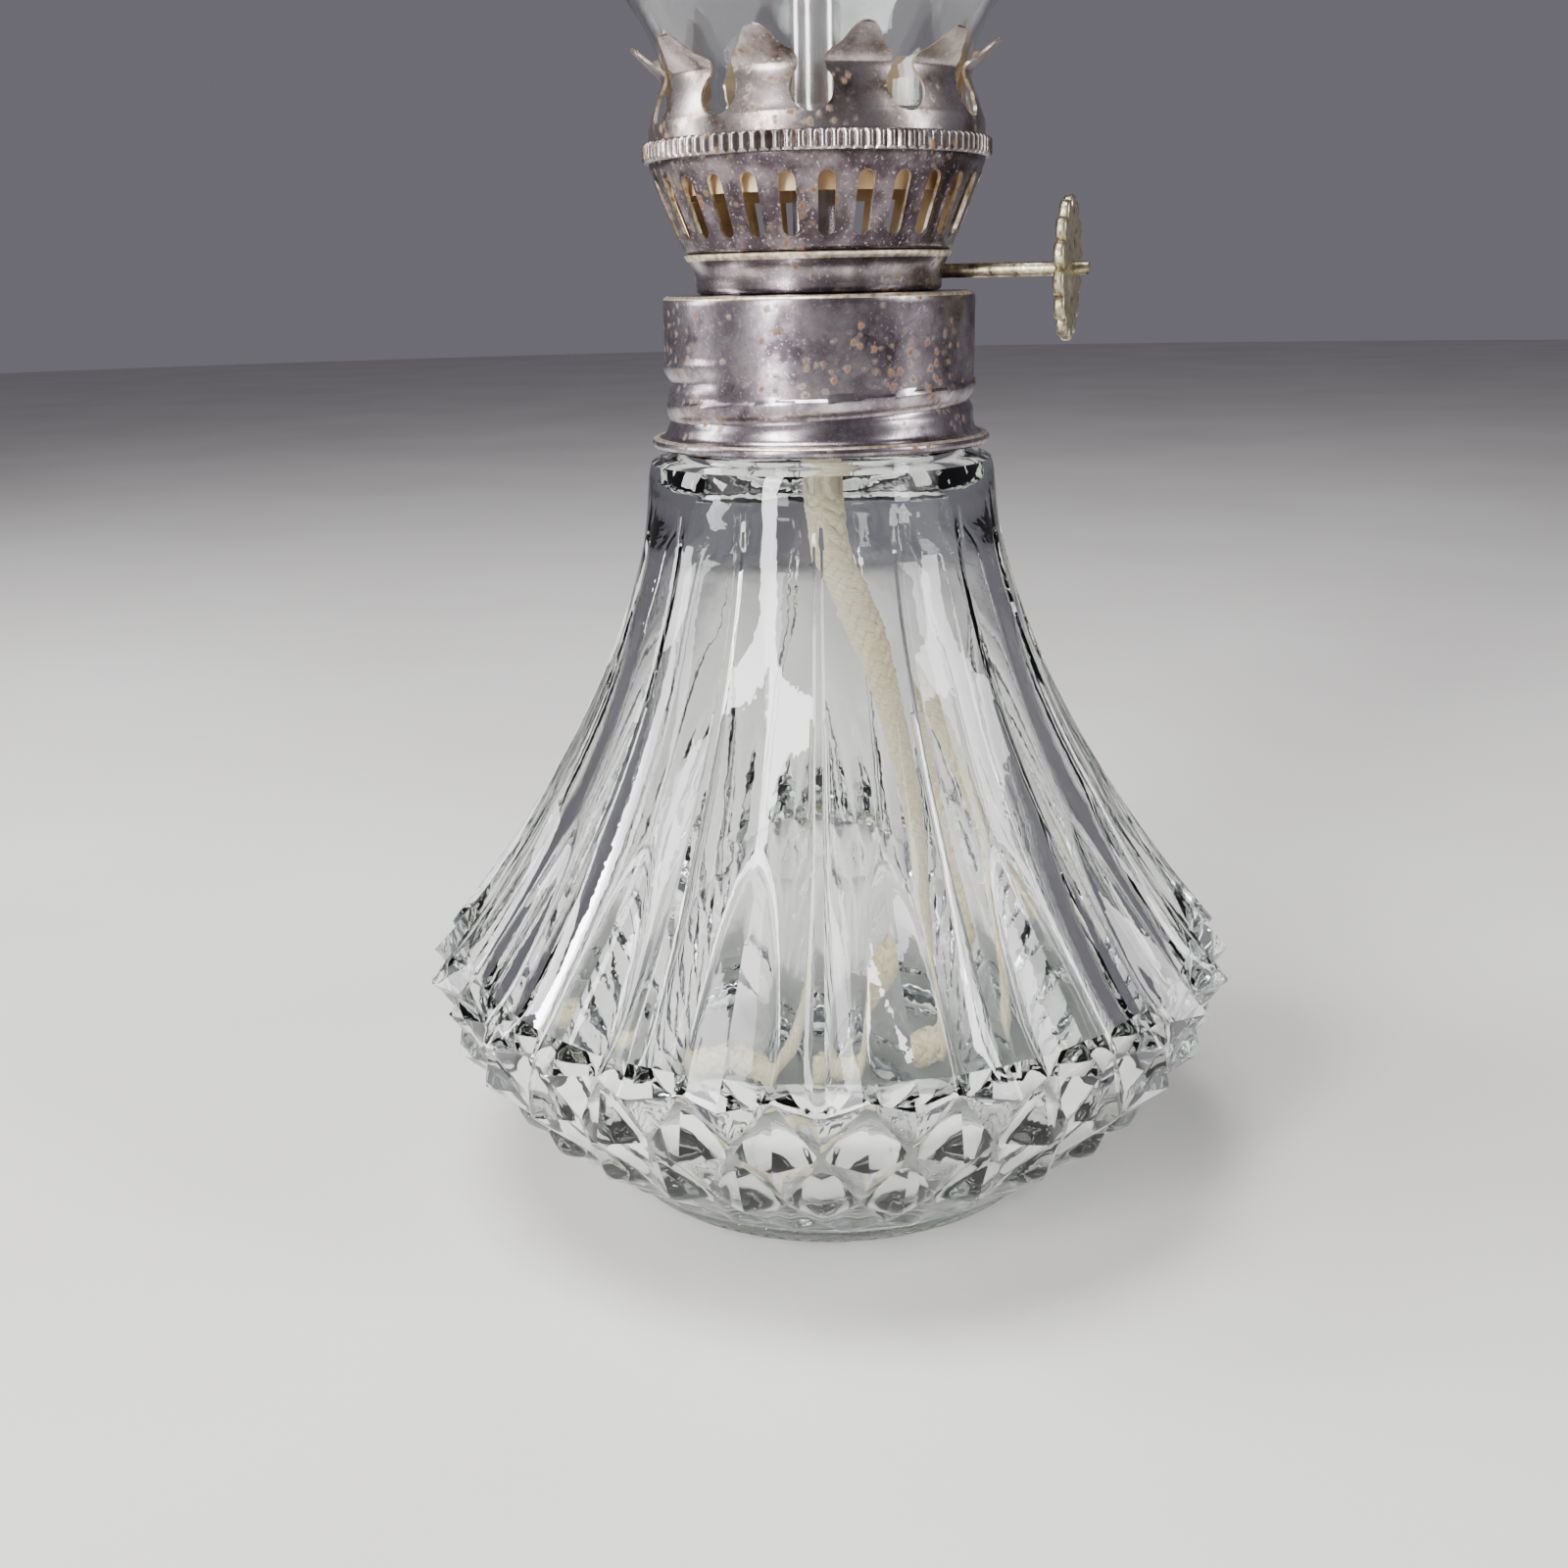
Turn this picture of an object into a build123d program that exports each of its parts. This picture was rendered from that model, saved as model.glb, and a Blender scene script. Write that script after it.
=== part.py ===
"""Round-wick oil lamp: a pressed-glass font under a screw cap that carries the whole burner.

The font's foot stands on the XY plane with its centre at the origin, and +Z is up.  The spindle
of the wick winder runs along +X.  Lengths are in millimetres and angles in degrees.
"""
from build123d import *
import math
import os

# Font: pressed glass, with diamonds below its widest ring and two lengths of rib above it
FOOT_RADIUS = 26.5
FOOT_HEIGHT = 3.0
FOOT_RIM_WIDTH = 5.5
FOOT_HOLLOW_DEPTH = 1.0
FOOT_STEP = 2.0
FONT_RADIUS = 47.4
BELLY_HEIGHT = 26.8
SHOULDER_RADIUS = 19.2
SHOULDER_HEIGHT = 84.4
RIB_SWEEP = 1.7
RIB_FADE = 1.3
LONG_RIBS = 15
LONG_RIB_ANGLE = -75.5
RIB_RELIEF = 3.0
LONG_RIB_END = 0.72
SHORT_RIB_END = 0.34
RIB_LEVELS = (0.06, 0.14, 0.23, SHORT_RIB_END, 0.47, 0.60, LONG_RIB_END, 0.86, 1.0)
DIAMOND_ROWS = ((0.08, 1.3), (0.35, 2.6), (0.70, 2.9))
GLASS_WALL = 3.2
GLASS_FLOOR = 4.0
FLOOR_CORNER_WIDTH = 4.5
LOWER_WALL_LEVELS = (0.45, 0.70)
UPPER_WALL_LEVELS = (0.14, 0.34, 0.60, 0.86)
CUT_SPARE = 1.0

# Glass neck and its one-start right-hand screw thread
NECK_RADIUS = 15.4
NECK_WALL = 3.4
NECK_HEIGHT = 15.3
NECK_BORE_RISE = 1.0
THREAD_PITCH = 4.2
THREAD_HALF_WIDTH = 0.55
THREAD_ROOT_LAP = 0.2
GLASS_THREAD_RELIEF = 0.7
GLASS_THREAD_RISE = 5.2
GLASS_THREAD_TURNS = 1.25

# Screw cap, rolled from thin plated sheet, and the gasket under its plate
SHEET = 0.4
CAP_WALL = 0.5
CAP_THREAD_DEPTH = 0.35
CAP_THREAD_GAP = 0.05
CAP_THREAD_RISE = 3.6
CAP_THREAD_ANGLE = 180.0
CAP_THREAD_TURNS = 1.2
CAP_BEAD_WIDTH = 1.7
CAP_BEAD_GAP = 0.7
CAP_BEAD_HEIGHT = 1.5
CAP_FLARE_HEIGHT = 1.2
CAP_CORNER_RADIUS = 0.5
CAP_HOLE_CLEARANCE = 0.1
GASKET_THICKNESS = 1.4
GASKET_SIDE_GAP = 0.3

# Wick and its tube, with heights from the sump's floor and from the chimney's ledge
WICK_RADIUS = 2.3
WICK_CLEARANCE = 0.1
WICK_PROUD = 3.0
WICK_START_RISE = 11.0
TUBE_WALL = 0.28
TUBE_HANG = 12.8
TUBE_RISE = 19.5

# Winder: spindle, toothed wheel, bracket and knob
SPINDLE_RADIUS = 0.75
SPINDLE_RISE = 2.0
SPINDLE_FIT = 0.05
SPINDLE_INNER_END = -3.0
SPINDLE_STUB = 1.8
WHEEL_TIP_RADIUS = 2.6
WHEEL_ROOT_RADIUS = 2.0
WHEEL_TEETH = 12
WHEEL_THICKNESS = 1.8
WHEEL_SIDE_GAP = 0.2
WHEEL_WICK_GAP = 0.1
BRACKET_SHEET = 0.4
BRACKET_HALF_DEPTH = 1.7
BRACKET_HEAD = 1.3
WINDOW_MARGIN = 0.5
KNOB_RADIUS = 7.5
KNOB_THICKNESS = 1.2
KNOB_REACH = 7.6
KNOB_SCALLOPS = 14
SCALLOP_RADIUS = 1.2
SCALLOP_DEPTH = 0.55

# Burner cup: a neck band with a flared lip over a narrow sump that hangs in the glass neck
CUP_RADIUS = 13.35
CUP_HEIGHT = 3.5
CUP_LIP_WIDTH = 0.65
CUP_LIP_HEIGHT = 0.6
SUMP_SPARE = 0.9
SUMP_DEPTH = 2.8
FLANGE_WIDTH = 2.32
FLANGE_THICKNESS = 0.8

# Chimney: blown clear glass, heights measured from its foot
CHIMNEY_FITTER_RADIUS = 15.9
CHIMNEY_PRONG_GAP = 0.1
CHIMNEY_FITTER_HEIGHT = 4.6
CHIMNEY_WALL = 1.5
CHIMNEY_FLARE_WIDTH = 1.72
CHIMNEY_FLARE_RISE = 4.8
CHIMNEY_BULGE_RADIUS = 24.5
CHIMNEY_BULGE_HEIGHT = 27.0
CHIMNEY_TOP_RADIUS = 14.0
CHIMNEY_WAIST_HEIGHT = 76.0
CHIMNEY_HEIGHT = 113.5

# Air basket: a slotted bowl standing on the cup's lip
BASKET_FOOT_LAP = 0.3
BASKET_FLOOR_SETBACK = 1.2
BASKET_RIM_HEIGHT = 1.7
SLOT_COUNT = 27
SLOT_ANGLE = -70.9
SLOT_WIDTH = 1.75
SLOT_LENGTH = 6.1
SLOT_FOOT = 1.5
SLOT_HEAD = 1.4

# Crown: a knurled band that clamps the basket, with prongs that grip the chimney
BAND_HEIGHT = 2.0
BAND_LAP = 1.4
BAND_KNURL = 0.3
KNURL_COUNT = 100
COLLAR_SPACE = 1.6
COLLAR_HEIGHT = 1.5
PRONG_COUNT = 11
PRONG_ANGLE = -59.2
PRONG_BEND_RISE = 4.3
PRONG_BEND_HALF_HEIGHT = 0.4
PRONG_ROLL_WIDTH = 0.7
PRONG_ROLL_RISE = 1.5
PRONG_FLARE_WIDTH = 3.5
PRONG_TIP_RISE = 8.0
PRONG_TIP_WIDTH = 1.39
GAP_ROUND_RADIUS = 2.3
GAP_BEND_WIDTH = 2.9
GAP_NECK_RISE = 1.0
GAP_OGEE_RISE = 2.2
GAP_OGEE_SHARE = 0.5

# Diffuser: the perforated ledge that the chimney stands on, with a skirt inside the basket
LEDGE_MARGIN = 1.2
DISH_DEPTH = 2.0
DISH_SLOPE_WIDTH = 1.0
SKIRT_DEPTH = 6.6
SKIRT_GAP = 0.52
DIFFUSER_TUBE_GAP = 0.3
DIFFUSER_HOLE_RADIUS = 0.9
DIFFUSER_HOLE_PITCH = 2.65
DIFFUSER_HOLE_RINGS = 3

# Wick tail: points of (distance right, distance back, height) once turned to its heading about +Z
TAIL_HEADING = 17.3
TAIL_GAP_TO_FLOOR = 0.3
TAIL_RUN_SHARE = 0.45
TAIL_POINTS = (
    (0.0, 0.0, 90.0),
    (0.0, 0.0, 79.6),
    (2.4, 0.6, 69.8),
    (6.6, 1.8, 60.2),
    (11.4, 3.0, 50.6),
    (15.6, 3.2, 40.8),
    (17.6, 1.6, 30.4),
    (14.4, -1.8, 20.6),
    (6.4, -5.6, 13.0),
)
TAIL_FLOOR_POINTS = ((-4.2, -8.4), (-14.4, -6.6), (-22.0, 0.4))

# Glass heights and radii that follow from the sizes above
FOOT_HOLLOW_RADIUS = FOOT_RADIUS - FOOT_RIM_WIDTH
FONT_JOIN_RADIUS = FOOT_RADIUS + FOOT_STEP
CAVITY_FLOOR = FOOT_HEIGHT + GLASS_FLOOR
CAVITY_FLOOR_RADIUS = FONT_JOIN_RADIUS - FLOOR_CORNER_WIDTH
NECK_BORE_RADIUS = NECK_RADIUS - NECK_WALL
NECK_BORE_START = SHOULDER_HEIGHT + NECK_BORE_RISE
NECK_RIM_HEIGHT = SHOULDER_HEIGHT + NECK_HEIGHT
TAIL_FLOOR = CAVITY_FLOOR + WICK_RADIUS + TAIL_GAP_TO_FLOOR

# Cap: its wall leaves room for both threads, and its plate rests on the gasket
CAP_RADIUS = NECK_RADIUS + GLASS_THREAD_RELIEF + CAP_THREAD_GAP + CAP_THREAD_DEPTH + CAP_WALL
CAP_BEAD_RADIUS = CAP_RADIUS + CAP_BEAD_WIDTH
CAP_PLATE_UNDER = NECK_RIM_HEIGHT + GASKET_THICKNESS
CAP_PLATE_TOP = CAP_PLATE_UNDER + CAP_WALL

# Winder and cup: the wheel touches the wick, and the sump takes the bracket
TUBE_BORE = WICK_RADIUS + WICK_CLEARANCE
TUBE_RADIUS = TUBE_BORE + TUBE_WALL
FLANGE_RADIUS = TUBE_RADIUS + FLANGE_WIDTH
SPINDLE_OFFSET = WICK_RADIUS + WHEEL_WICK_GAP + WHEEL_TIP_RADIUS
SPINDLE_HEIGHT = CAP_PLATE_TOP + SPINDLE_RISE
SPINDLE_HOLE = SPINDLE_RADIUS + SPINDLE_FIT
KNOB_CENTRE = CAP_BEAD_RADIUS + KNOB_REACH
SUMP_RADIUS = SPINDLE_OFFSET + BRACKET_HALF_DEPTH + SHEET + SUMP_SPARE
SUMP_FLOOR = CAP_PLATE_TOP - SUMP_DEPTH
CUP_LIP_RADIUS = CUP_RADIUS + CUP_LIP_WIDTH
CUP_TOP = CAP_PLATE_TOP + CUP_HEIGHT + CUP_LIP_HEIGHT

# Basket, crown and ledge: each stands on the piece below and is sized to the chimney's foot
PRONG_GRIP_RADIUS = CHIMNEY_FITTER_RADIUS + CHIMNEY_PRONG_GAP
COLLAR_RADIUS = CHIMNEY_FITTER_RADIUS + COLLAR_SPACE
BASKET_TOP_RADIUS = COLLAR_RADIUS + SHEET
BASKET_FOOT_RADIUS = CUP_LIP_RADIUS + BASKET_FOOT_LAP
BASKET_HOLE_RADIUS = SUMP_RADIUS + BASKET_FLOOR_SETBACK
BASKET_SHOULDER_HEIGHT = SLOT_FOOT + SLOT_LENGTH + SLOT_HEAD
BASKET_TOP = CUP_TOP + BASKET_SHOULDER_HEIGHT + BASKET_RIM_HEIGHT
BAND_BOTTOM = BASKET_TOP - BAND_LAP
BAND_TOP = BAND_BOTTOM + BAND_HEIGHT
LEDGE_HEIGHT = BAND_TOP + COLLAR_HEIGHT
LEDGE_UNDER = LEDGE_HEIGHT - SHEET
PRONG_TIP_RADIUS = PRONG_GRIP_RADIUS + PRONG_FLARE_WIDTH
PRONG_TIP_PITCH = 2 * PRONG_TIP_RADIUS * math.sin(math.pi / PRONG_COUNT)
LEDGE_INNER_RADIUS = CHIMNEY_FITTER_RADIUS - CHIMNEY_WALL - LEDGE_MARGIN
DISH_RADIUS = LEDGE_INNER_RADIUS - DISH_SLOPE_WIDTH
SKIRT_BOTTOM = LEDGE_UNDER - SKIRT_DEPTH
BASKET_SLOPE = (BASKET_TOP_RADIUS - BASKET_FOOT_RADIUS) / BASKET_SHOULDER_HEIGHT
SKIRT_RADIUS = BASKET_FOOT_RADIUS + BASKET_SLOPE * (SKIRT_BOTTOM - CUP_TOP) - SHEET - SKIRT_GAP

# Heights along the lamp's axis that follow from the burner's
TUBE_BOTTOM = SUMP_FLOOR - TUBE_HANG
TUBE_TOP = LEDGE_HEIGHT + TUBE_RISE
WICK_TOP = TUBE_TOP + WICK_PROUD
WICK_BOTTOM = TUBE_BOTTOM + WICK_START_RISE
CHIMNEY_TOP = LEDGE_HEIGHT + CHIMNEY_HEIGHT


def mitred(points, wall):
    """Points of the other side of a bent sheet, whose wall lies to the left of the given side."""
    normals = []
    for (x0, z0), (x1, z1) in zip(points, points[1:]):
        length = math.hypot(x1 - x0, z1 - z0)
        normals.append(((z0 - z1) / length, (x1 - x0) / length))
    other_side = []
    for index, (x, z) in enumerate(points):
        nx0, nz0 = normals[max(index - 1, 0)]
        nx1, nz1 = normals[min(index, len(normals) - 1)]
        scale = wall / (1 + nx0 * nx1 + nz0 * nz1)
        other_side.append((x + (nx0 + nx1) * scale, z + (nz0 + nz1) * scale))
    return other_side


def turned(points):
    """Solid of revolution about Z of a closed outline of (radius, height) points."""
    outline = Wire.make_polygon([(x, 0, z) for x, z in points], close=True)
    return revolve(Face(outline), Axis.Z, 360)


def sheet_turned(points, wall=SHEET):
    """Sheet-metal turning: one side through the points, the wall to the left of it."""
    return turned(list(points) + mitred(points, wall)[::-1])


def ring(outer, inner, bottom, top):
    """Plain ring about Z."""
    return turned([(inner, bottom), (outer, bottom), (outer, top), (inner, top)])


def disc(radius, bottom, top):
    """Plain solid cylinder about Z."""
    return Pos(0, 0, bottom) * extrude(Circle(radius), top - bottom)


def helical_bead(radius, start, turns, half_width, relief):
    """Screw thread of triangular section; its root is at radius, and relief may point inwards."""
    root = radius - math.copysign(THREAD_ROOT_LAP, relief)
    path = Pos(0, 0, start) * Helix(THREAD_PITCH, THREAD_PITCH * turns, root)
    crest = radius + relief
    corners = [(root, 0, start - half_width), (crest, 0, start), (root, 0, start + half_width)]
    return sweep(Face(Wire.make_polygon(corners, close=True)), path, is_frenet=True)


def upper_radii(share):
    """Long-rib and short-rib crest and valley radii at a share of the way from belly to shoulder."""
    crest = SHOULDER_RADIUS + (FONT_RADIUS - SHOULDER_RADIUS) * (1 - share) ** RIB_SWEEP
    valley = crest - RIB_RELIEF * max(0.0, 1 - share / LONG_RIB_END) ** RIB_FADE
    short = valley + (crest - valley) * max(0.0, 1 - share / SHORT_RIB_END)
    return crest, valley, short


def lower_radius(share):
    """Crest radius of the diamonds at a share of the way from the foot to the belly."""
    return FONT_JOIN_RADIUS + (FONT_RADIUS - FONT_JOIN_RADIUS) * (1 - (1 - share) ** 2)


def star_ring(height, radii):
    """Points round the font, with the radii repeated in turn, starting on a long rib."""
    count = 4 * LONG_RIBS
    points = []
    for index in range(count):
        angle = math.radians(LONG_RIB_ANGLE + 360 * index / count)
        radius = radii[index % len(radii)]
        points.append(Vector(radius * math.cos(angle), radius * math.sin(angle), height))
    return points


def facets(lower, upper):
    """Triangles between two rings, each pair split along its deeper diagonal."""
    faces = []
    for index in range(len(lower)):
        following = (index + 1) % len(lower)
        a, b, c, d = lower[index], lower[following], upper[following], upper[index]
        spread = [math.hypot(p.X, p.Y) for p in (a, b, c, d)]
        if spread[0] + spread[2] < spread[1] + spread[3]:
            triangles = ((a, b, c), (a, c, d))
        else:
            triangles = ((a, b, d), (b, c, d))
        for corners in triangles:
            faces.append(Face(Wire.make_polygon(corners, close=True)))
    return faces


def font_outside():
    """Faceted outside of the font, from the foot to the shoulder."""
    rise = BELLY_HEIGHT - FOOT_HEIGHT
    rings = [star_ring(FOOT_HEIGHT, (FONT_JOIN_RADIUS,))]
    for row, (share, relief) in enumerate(DIAMOND_ROWS):
        crest = lower_radius(share)
        radii = (crest, crest - relief) if row % 2 else (crest - relief, crest)
        rings.append(star_ring(FOOT_HEIGHT + rise * share, radii))
    for share in (0.0,) + RIB_LEVELS:
        crest, valley, short = upper_radii(share)
        height = BELLY_HEIGHT + (SHOULDER_HEIGHT - BELLY_HEIGHT) * share
        rings.append(star_ring(height, (crest, valley, short, valley)))
    faces = [Face(Wire.make_polygon(end, close=True)) for end in (rings[0], rings[-1])]
    for lower, upper in zip(rings, rings[1:]):
        faces += facets(lower, upper)
    return Solid(Shell(faces))


def font_cavity():
    """Inside of the font: a flat floor, a wall of even thickness and the neck bore."""
    lower_rise = BELLY_HEIGHT - FOOT_HEIGHT
    upper_rise = SHOULDER_HEIGHT - BELLY_HEIGHT
    belly = upper_radii(0.0)[1] - GLASS_WALL
    wall = [(CAVITY_FLOOR_RADIUS, CAVITY_FLOOR)]
    for share in LOWER_WALL_LEVELS:
        radius = lower_radius(share) - RIB_RELIEF - GLASS_WALL
        wall.append((radius, FOOT_HEIGHT + lower_rise * share))
    wall.append((belly, BELLY_HEIGHT))
    for share in UPPER_WALL_LEVELS:
        radius = upper_radii(share)[1] - GLASS_WALL
        wall.append((radius, BELLY_HEIGHT + upper_rise * share))
    wall.append((NECK_BORE_RADIUS, NECK_BORE_START))
    side = Spline([(x, 0, z) for x, z in wall])
    above = NECK_RIM_HEIGHT + CUT_SPARE
    rest = Polyline(
        (NECK_BORE_RADIUS, 0, NECK_BORE_START),
        (NECK_BORE_RADIUS, 0, above),
        (0, 0, above),
        (0, 0, CAVITY_FLOOR),
        (CAVITY_FLOOR_RADIUS, 0, CAVITY_FLOOR),
    )
    return revolve(make_face([*side.edges(), *rest.edges()]), Axis.Z, 360)


def make_font_glass():
    foot = ring(FOOT_RADIUS, FOOT_HOLLOW_RADIUS, 0, FOOT_HOLLOW_DEPTH)
    foot += disc(FOOT_RADIUS, FOOT_HOLLOW_DEPTH, FOOT_HEIGHT)
    neck = disc(NECK_RADIUS, SHOULDER_HEIGHT, NECK_RIM_HEIGHT)
    thread = helical_bead(
        NECK_RADIUS, SHOULDER_HEIGHT + GLASS_THREAD_RISE, GLASS_THREAD_TURNS,
        THREAD_HALF_WIDTH, GLASS_THREAD_RELIEF)
    return font_outside() + foot + neck + thread - font_cavity()


def make_cap_gasket():
    return ring(NECK_RADIUS - GASKET_SIDE_GAP, NECK_BORE_RADIUS + GASKET_SIDE_GAP,
                NECK_RIM_HEIGHT, CAP_PLATE_UNDER)


def make_screw_collar():
    """Screw cap with a rolled bead at its mouth and the burner's hole in its plate."""
    bead_bottom = SHOULDER_HEIGHT + CAP_BEAD_GAP
    bead_top = bead_bottom + CAP_BEAD_HEIGHT
    inner = CAP_RADIUS - CAP_WALL
    hole = SUMP_RADIUS + CAP_HOLE_CLEARANCE
    body = turned([
        (inner, bead_bottom),
        (CAP_BEAD_RADIUS, bead_bottom),
        (CAP_BEAD_RADIUS, bead_top),
        (CAP_RADIUS, bead_top + CAP_FLARE_HEIGHT),
        (CAP_RADIUS, CAP_PLATE_TOP - CAP_CORNER_RADIUS),
        (CAP_RADIUS - CAP_CORNER_RADIUS, CAP_PLATE_TOP),
        (hole, CAP_PLATE_TOP),
        (hole, CAP_PLATE_UNDER),
        (inner, CAP_PLATE_UNDER),
    ])
    start = SHOULDER_HEIGHT + CAP_THREAD_RISE
    groove = helical_bead(
        CAP_RADIUS, start, CAP_THREAD_TURNS, THREAD_HALF_WIDTH, -CAP_THREAD_DEPTH)
    thread = helical_bead(
        inner, start, CAP_THREAD_TURNS, THREAD_HALF_WIDTH, -CAP_THREAD_DEPTH)
    to_start = Rot(0, 0, CAP_THREAD_ANGLE)
    return body - to_start * groove + to_start * thread


def make_burner_cup():
    """Neck band and sump in one drawn cup, with a hole for the spindle in its side."""
    lip_start = CUP_TOP - CUP_LIP_HEIGHT
    cup = sheet_turned([
        (TUBE_RADIUS, SUMP_FLOOR),
        (SUMP_RADIUS, SUMP_FLOOR),
        (SUMP_RADIUS, CAP_PLATE_TOP),
        (CUP_RADIUS, CAP_PLATE_TOP),
        (CUP_RADIUS, lip_start),
        (CUP_LIP_RADIUS, CUP_TOP),
    ])
    cup -= disc(CUP_LIP_RADIUS + SHEET, CUP_TOP, CUP_TOP + SHEET)
    hole = Cylinder(SPINDLE_HOLE, CUP_RADIUS, rotation=(0, 90, 0))
    return cup - Pos(CUP_RADIUS, SPINDLE_OFFSET, SPINDLE_HEIGHT) * hole


def make_tube_flange():
    return ring(FLANGE_RADIUS, TUBE_RADIUS, SUMP_FLOOR - FLANGE_THICKNESS, SUMP_FLOOR)


def make_wick_tube():
    """Tall seamed tube with a window where the toothed wheel reaches the wick."""
    tube = ring(TUBE_RADIUS, TUBE_BORE, TUBE_BOTTOM, TUBE_TOP)
    reach = SPINDLE_OFFSET - TUBE_BORE
    half_height = math.sqrt(WHEEL_TIP_RADIUS ** 2 - (reach - TUBE_WALL) ** 2) + WINDOW_MARGIN
    width = WHEEL_THICKNESS + 2 * WHEEL_SIDE_GAP
    window = Box(width, 2 * TUBE_WALL + TUBE_RADIUS, 2 * half_height)
    return tube - Pos(0, TUBE_RADIUS, SPINDLE_HEIGHT) * window


def make_wheel_bracket():
    """Small bent strap on the sump floor whose two ears carry the spindle."""
    floor = SUMP_FLOOR + SHEET
    inside = WHEEL_THICKNESS + 2 * WHEEL_SIDE_GAP
    height = SPINDLE_HEIGHT + BRACKET_HEAD - floor
    depth = 2 * BRACKET_HALF_DEPTH
    strap = Box(inside + 2 * BRACKET_SHEET, depth, height)
    strap -= Pos(0, 0, BRACKET_SHEET) * Box(inside, depth, height)
    strap = Pos(0, SPINDLE_OFFSET, floor + height / 2) * strap
    hole = Cylinder(SPINDLE_HOLE, 2 * inside, rotation=(0, 90, 0))
    return strap - Pos(0, SPINDLE_OFFSET, SPINDLE_HEIGHT) * hole


def facing_out(shape):
    """Stand a solid that was extruded from the XY plane so that it runs along +X."""
    return Rot(0, 0, 90) * Rot(90, 0, 0) * shape


def across(shape, centre):
    """Stand a solid made about Z on the spindle, with its middle at the given X."""
    return Pos(centre, SPINDLE_OFFSET, SPINDLE_HEIGHT) * Rot(0, 90, 0) * shape


def make_spindle():
    outer_end = KNOB_CENTRE + KNOB_THICKNESS / 2 + SPINDLE_STUB
    length = outer_end - SPINDLE_INNER_END
    return across(Cylinder(SPINDLE_RADIUS, length), SPINDLE_INNER_END + length / 2)


def make_spur_wheel():
    corners = []
    for index in range(2 * WHEEL_TEETH):
        radius = WHEEL_ROOT_RADIUS if index % 2 else WHEEL_TIP_RADIUS
        angle = math.pi * index / WHEEL_TEETH
        corners.append((radius * math.cos(angle), radius * math.sin(angle)))
    section = make_face(Polyline(*corners, close=True)) - Circle(SPINDLE_RADIUS)
    wheel = Pos(0, 0, -WHEEL_THICKNESS / 2) * extrude(section, WHEEL_THICKNESS)
    return across(wheel, 0)


def make_wick_knob():
    """Stamped disc with a scalloped edge, pressed onto the spindle."""
    knob = Cylinder(KNOB_RADIUS, KNOB_THICKNESS)
    notch = Cylinder(SCALLOP_RADIUS, KNOB_THICKNESS)
    for place in PolarLocations(KNOB_RADIUS + SCALLOP_RADIUS - SCALLOP_DEPTH, KNOB_SCALLOPS):
        knob -= place * notch
    return across(knob - Cylinder(SPINDLE_RADIUS, KNOB_THICKNESS), KNOB_CENTRE)


def make_air_basket():
    """Slotted bowl that lets air in under the flame."""
    shoulder = CUP_TOP + BASKET_SHOULDER_HEIGHT
    basket = sheet_turned([
        (BASKET_HOLE_RADIUS, CUP_TOP),
        (BASKET_FOOT_RADIUS, CUP_TOP),
        (BASKET_TOP_RADIUS, shoulder),
        (BASKET_TOP_RADIUS, BASKET_TOP),
    ])
    middle = CUP_TOP + SLOT_FOOT + SLOT_LENGTH / 2
    slot = extrude(SlotOverall(SLOT_LENGTH, SLOT_WIDTH, rotation=90), 2 * SLOT_LENGTH)
    for index in range(SLOT_COUNT):
        turn = Rot(0, 0, SLOT_ANGLE + 360 * index / SLOT_COUNT)
        basket -= turn * Pos(BASKET_FOOT_RADIUS - SLOT_LENGTH, 0, middle) * facing_out(slot)
    return basket


def knurled_band():
    corners = []
    for index in range(2 * KNURL_COUNT):
        radius = BASKET_TOP_RADIUS + SHEET + BAND_KNURL * (1 - index % 2)
        angle = math.pi * index / KNURL_COUNT
        corners.append((radius * math.cos(angle), radius * math.sin(angle)))
    section = make_face(Polyline(*corners, close=True)) - Circle(BASKET_TOP_RADIUS)
    return Pos(0, 0, BAND_BOTTOM) * extrude(section, BAND_HEIGHT)


def prong_gap():
    """Keyhole cutter between two prongs, along +X."""
    bend = LEDGE_HEIGHT + PRONG_BEND_RISE
    tip = LEDGE_HEIGHT + PRONG_TIP_RISE + SHEET
    neck = GAP_BEND_WIDTH / 2
    half = (PRONG_TIP_PITCH - PRONG_TIP_WIDTH) / 2
    ogee = GAP_OGEE_SHARE * half
    round_centre = LEDGE_HEIGHT + GAP_ROUND_RADIUS
    right_side = [
        (neck, round_centre),
        (neck, bend + GAP_NECK_RISE),
        (ogee, bend + GAP_OGEE_RISE),
        (half, tip),
    ]
    left_side = [(-x, z) for x, z in reversed(right_side)]
    throat = make_face(Polyline(*right_side, *left_side, close=True))
    section = throat + Pos(0, round_centre) * Circle(GAP_ROUND_RADIUS)
    cutter = extrude(section, PRONG_TIP_RADIUS)
    return Pos(COLLAR_RADIUS / 2, 0, 0) * facing_out(cutter)


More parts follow.
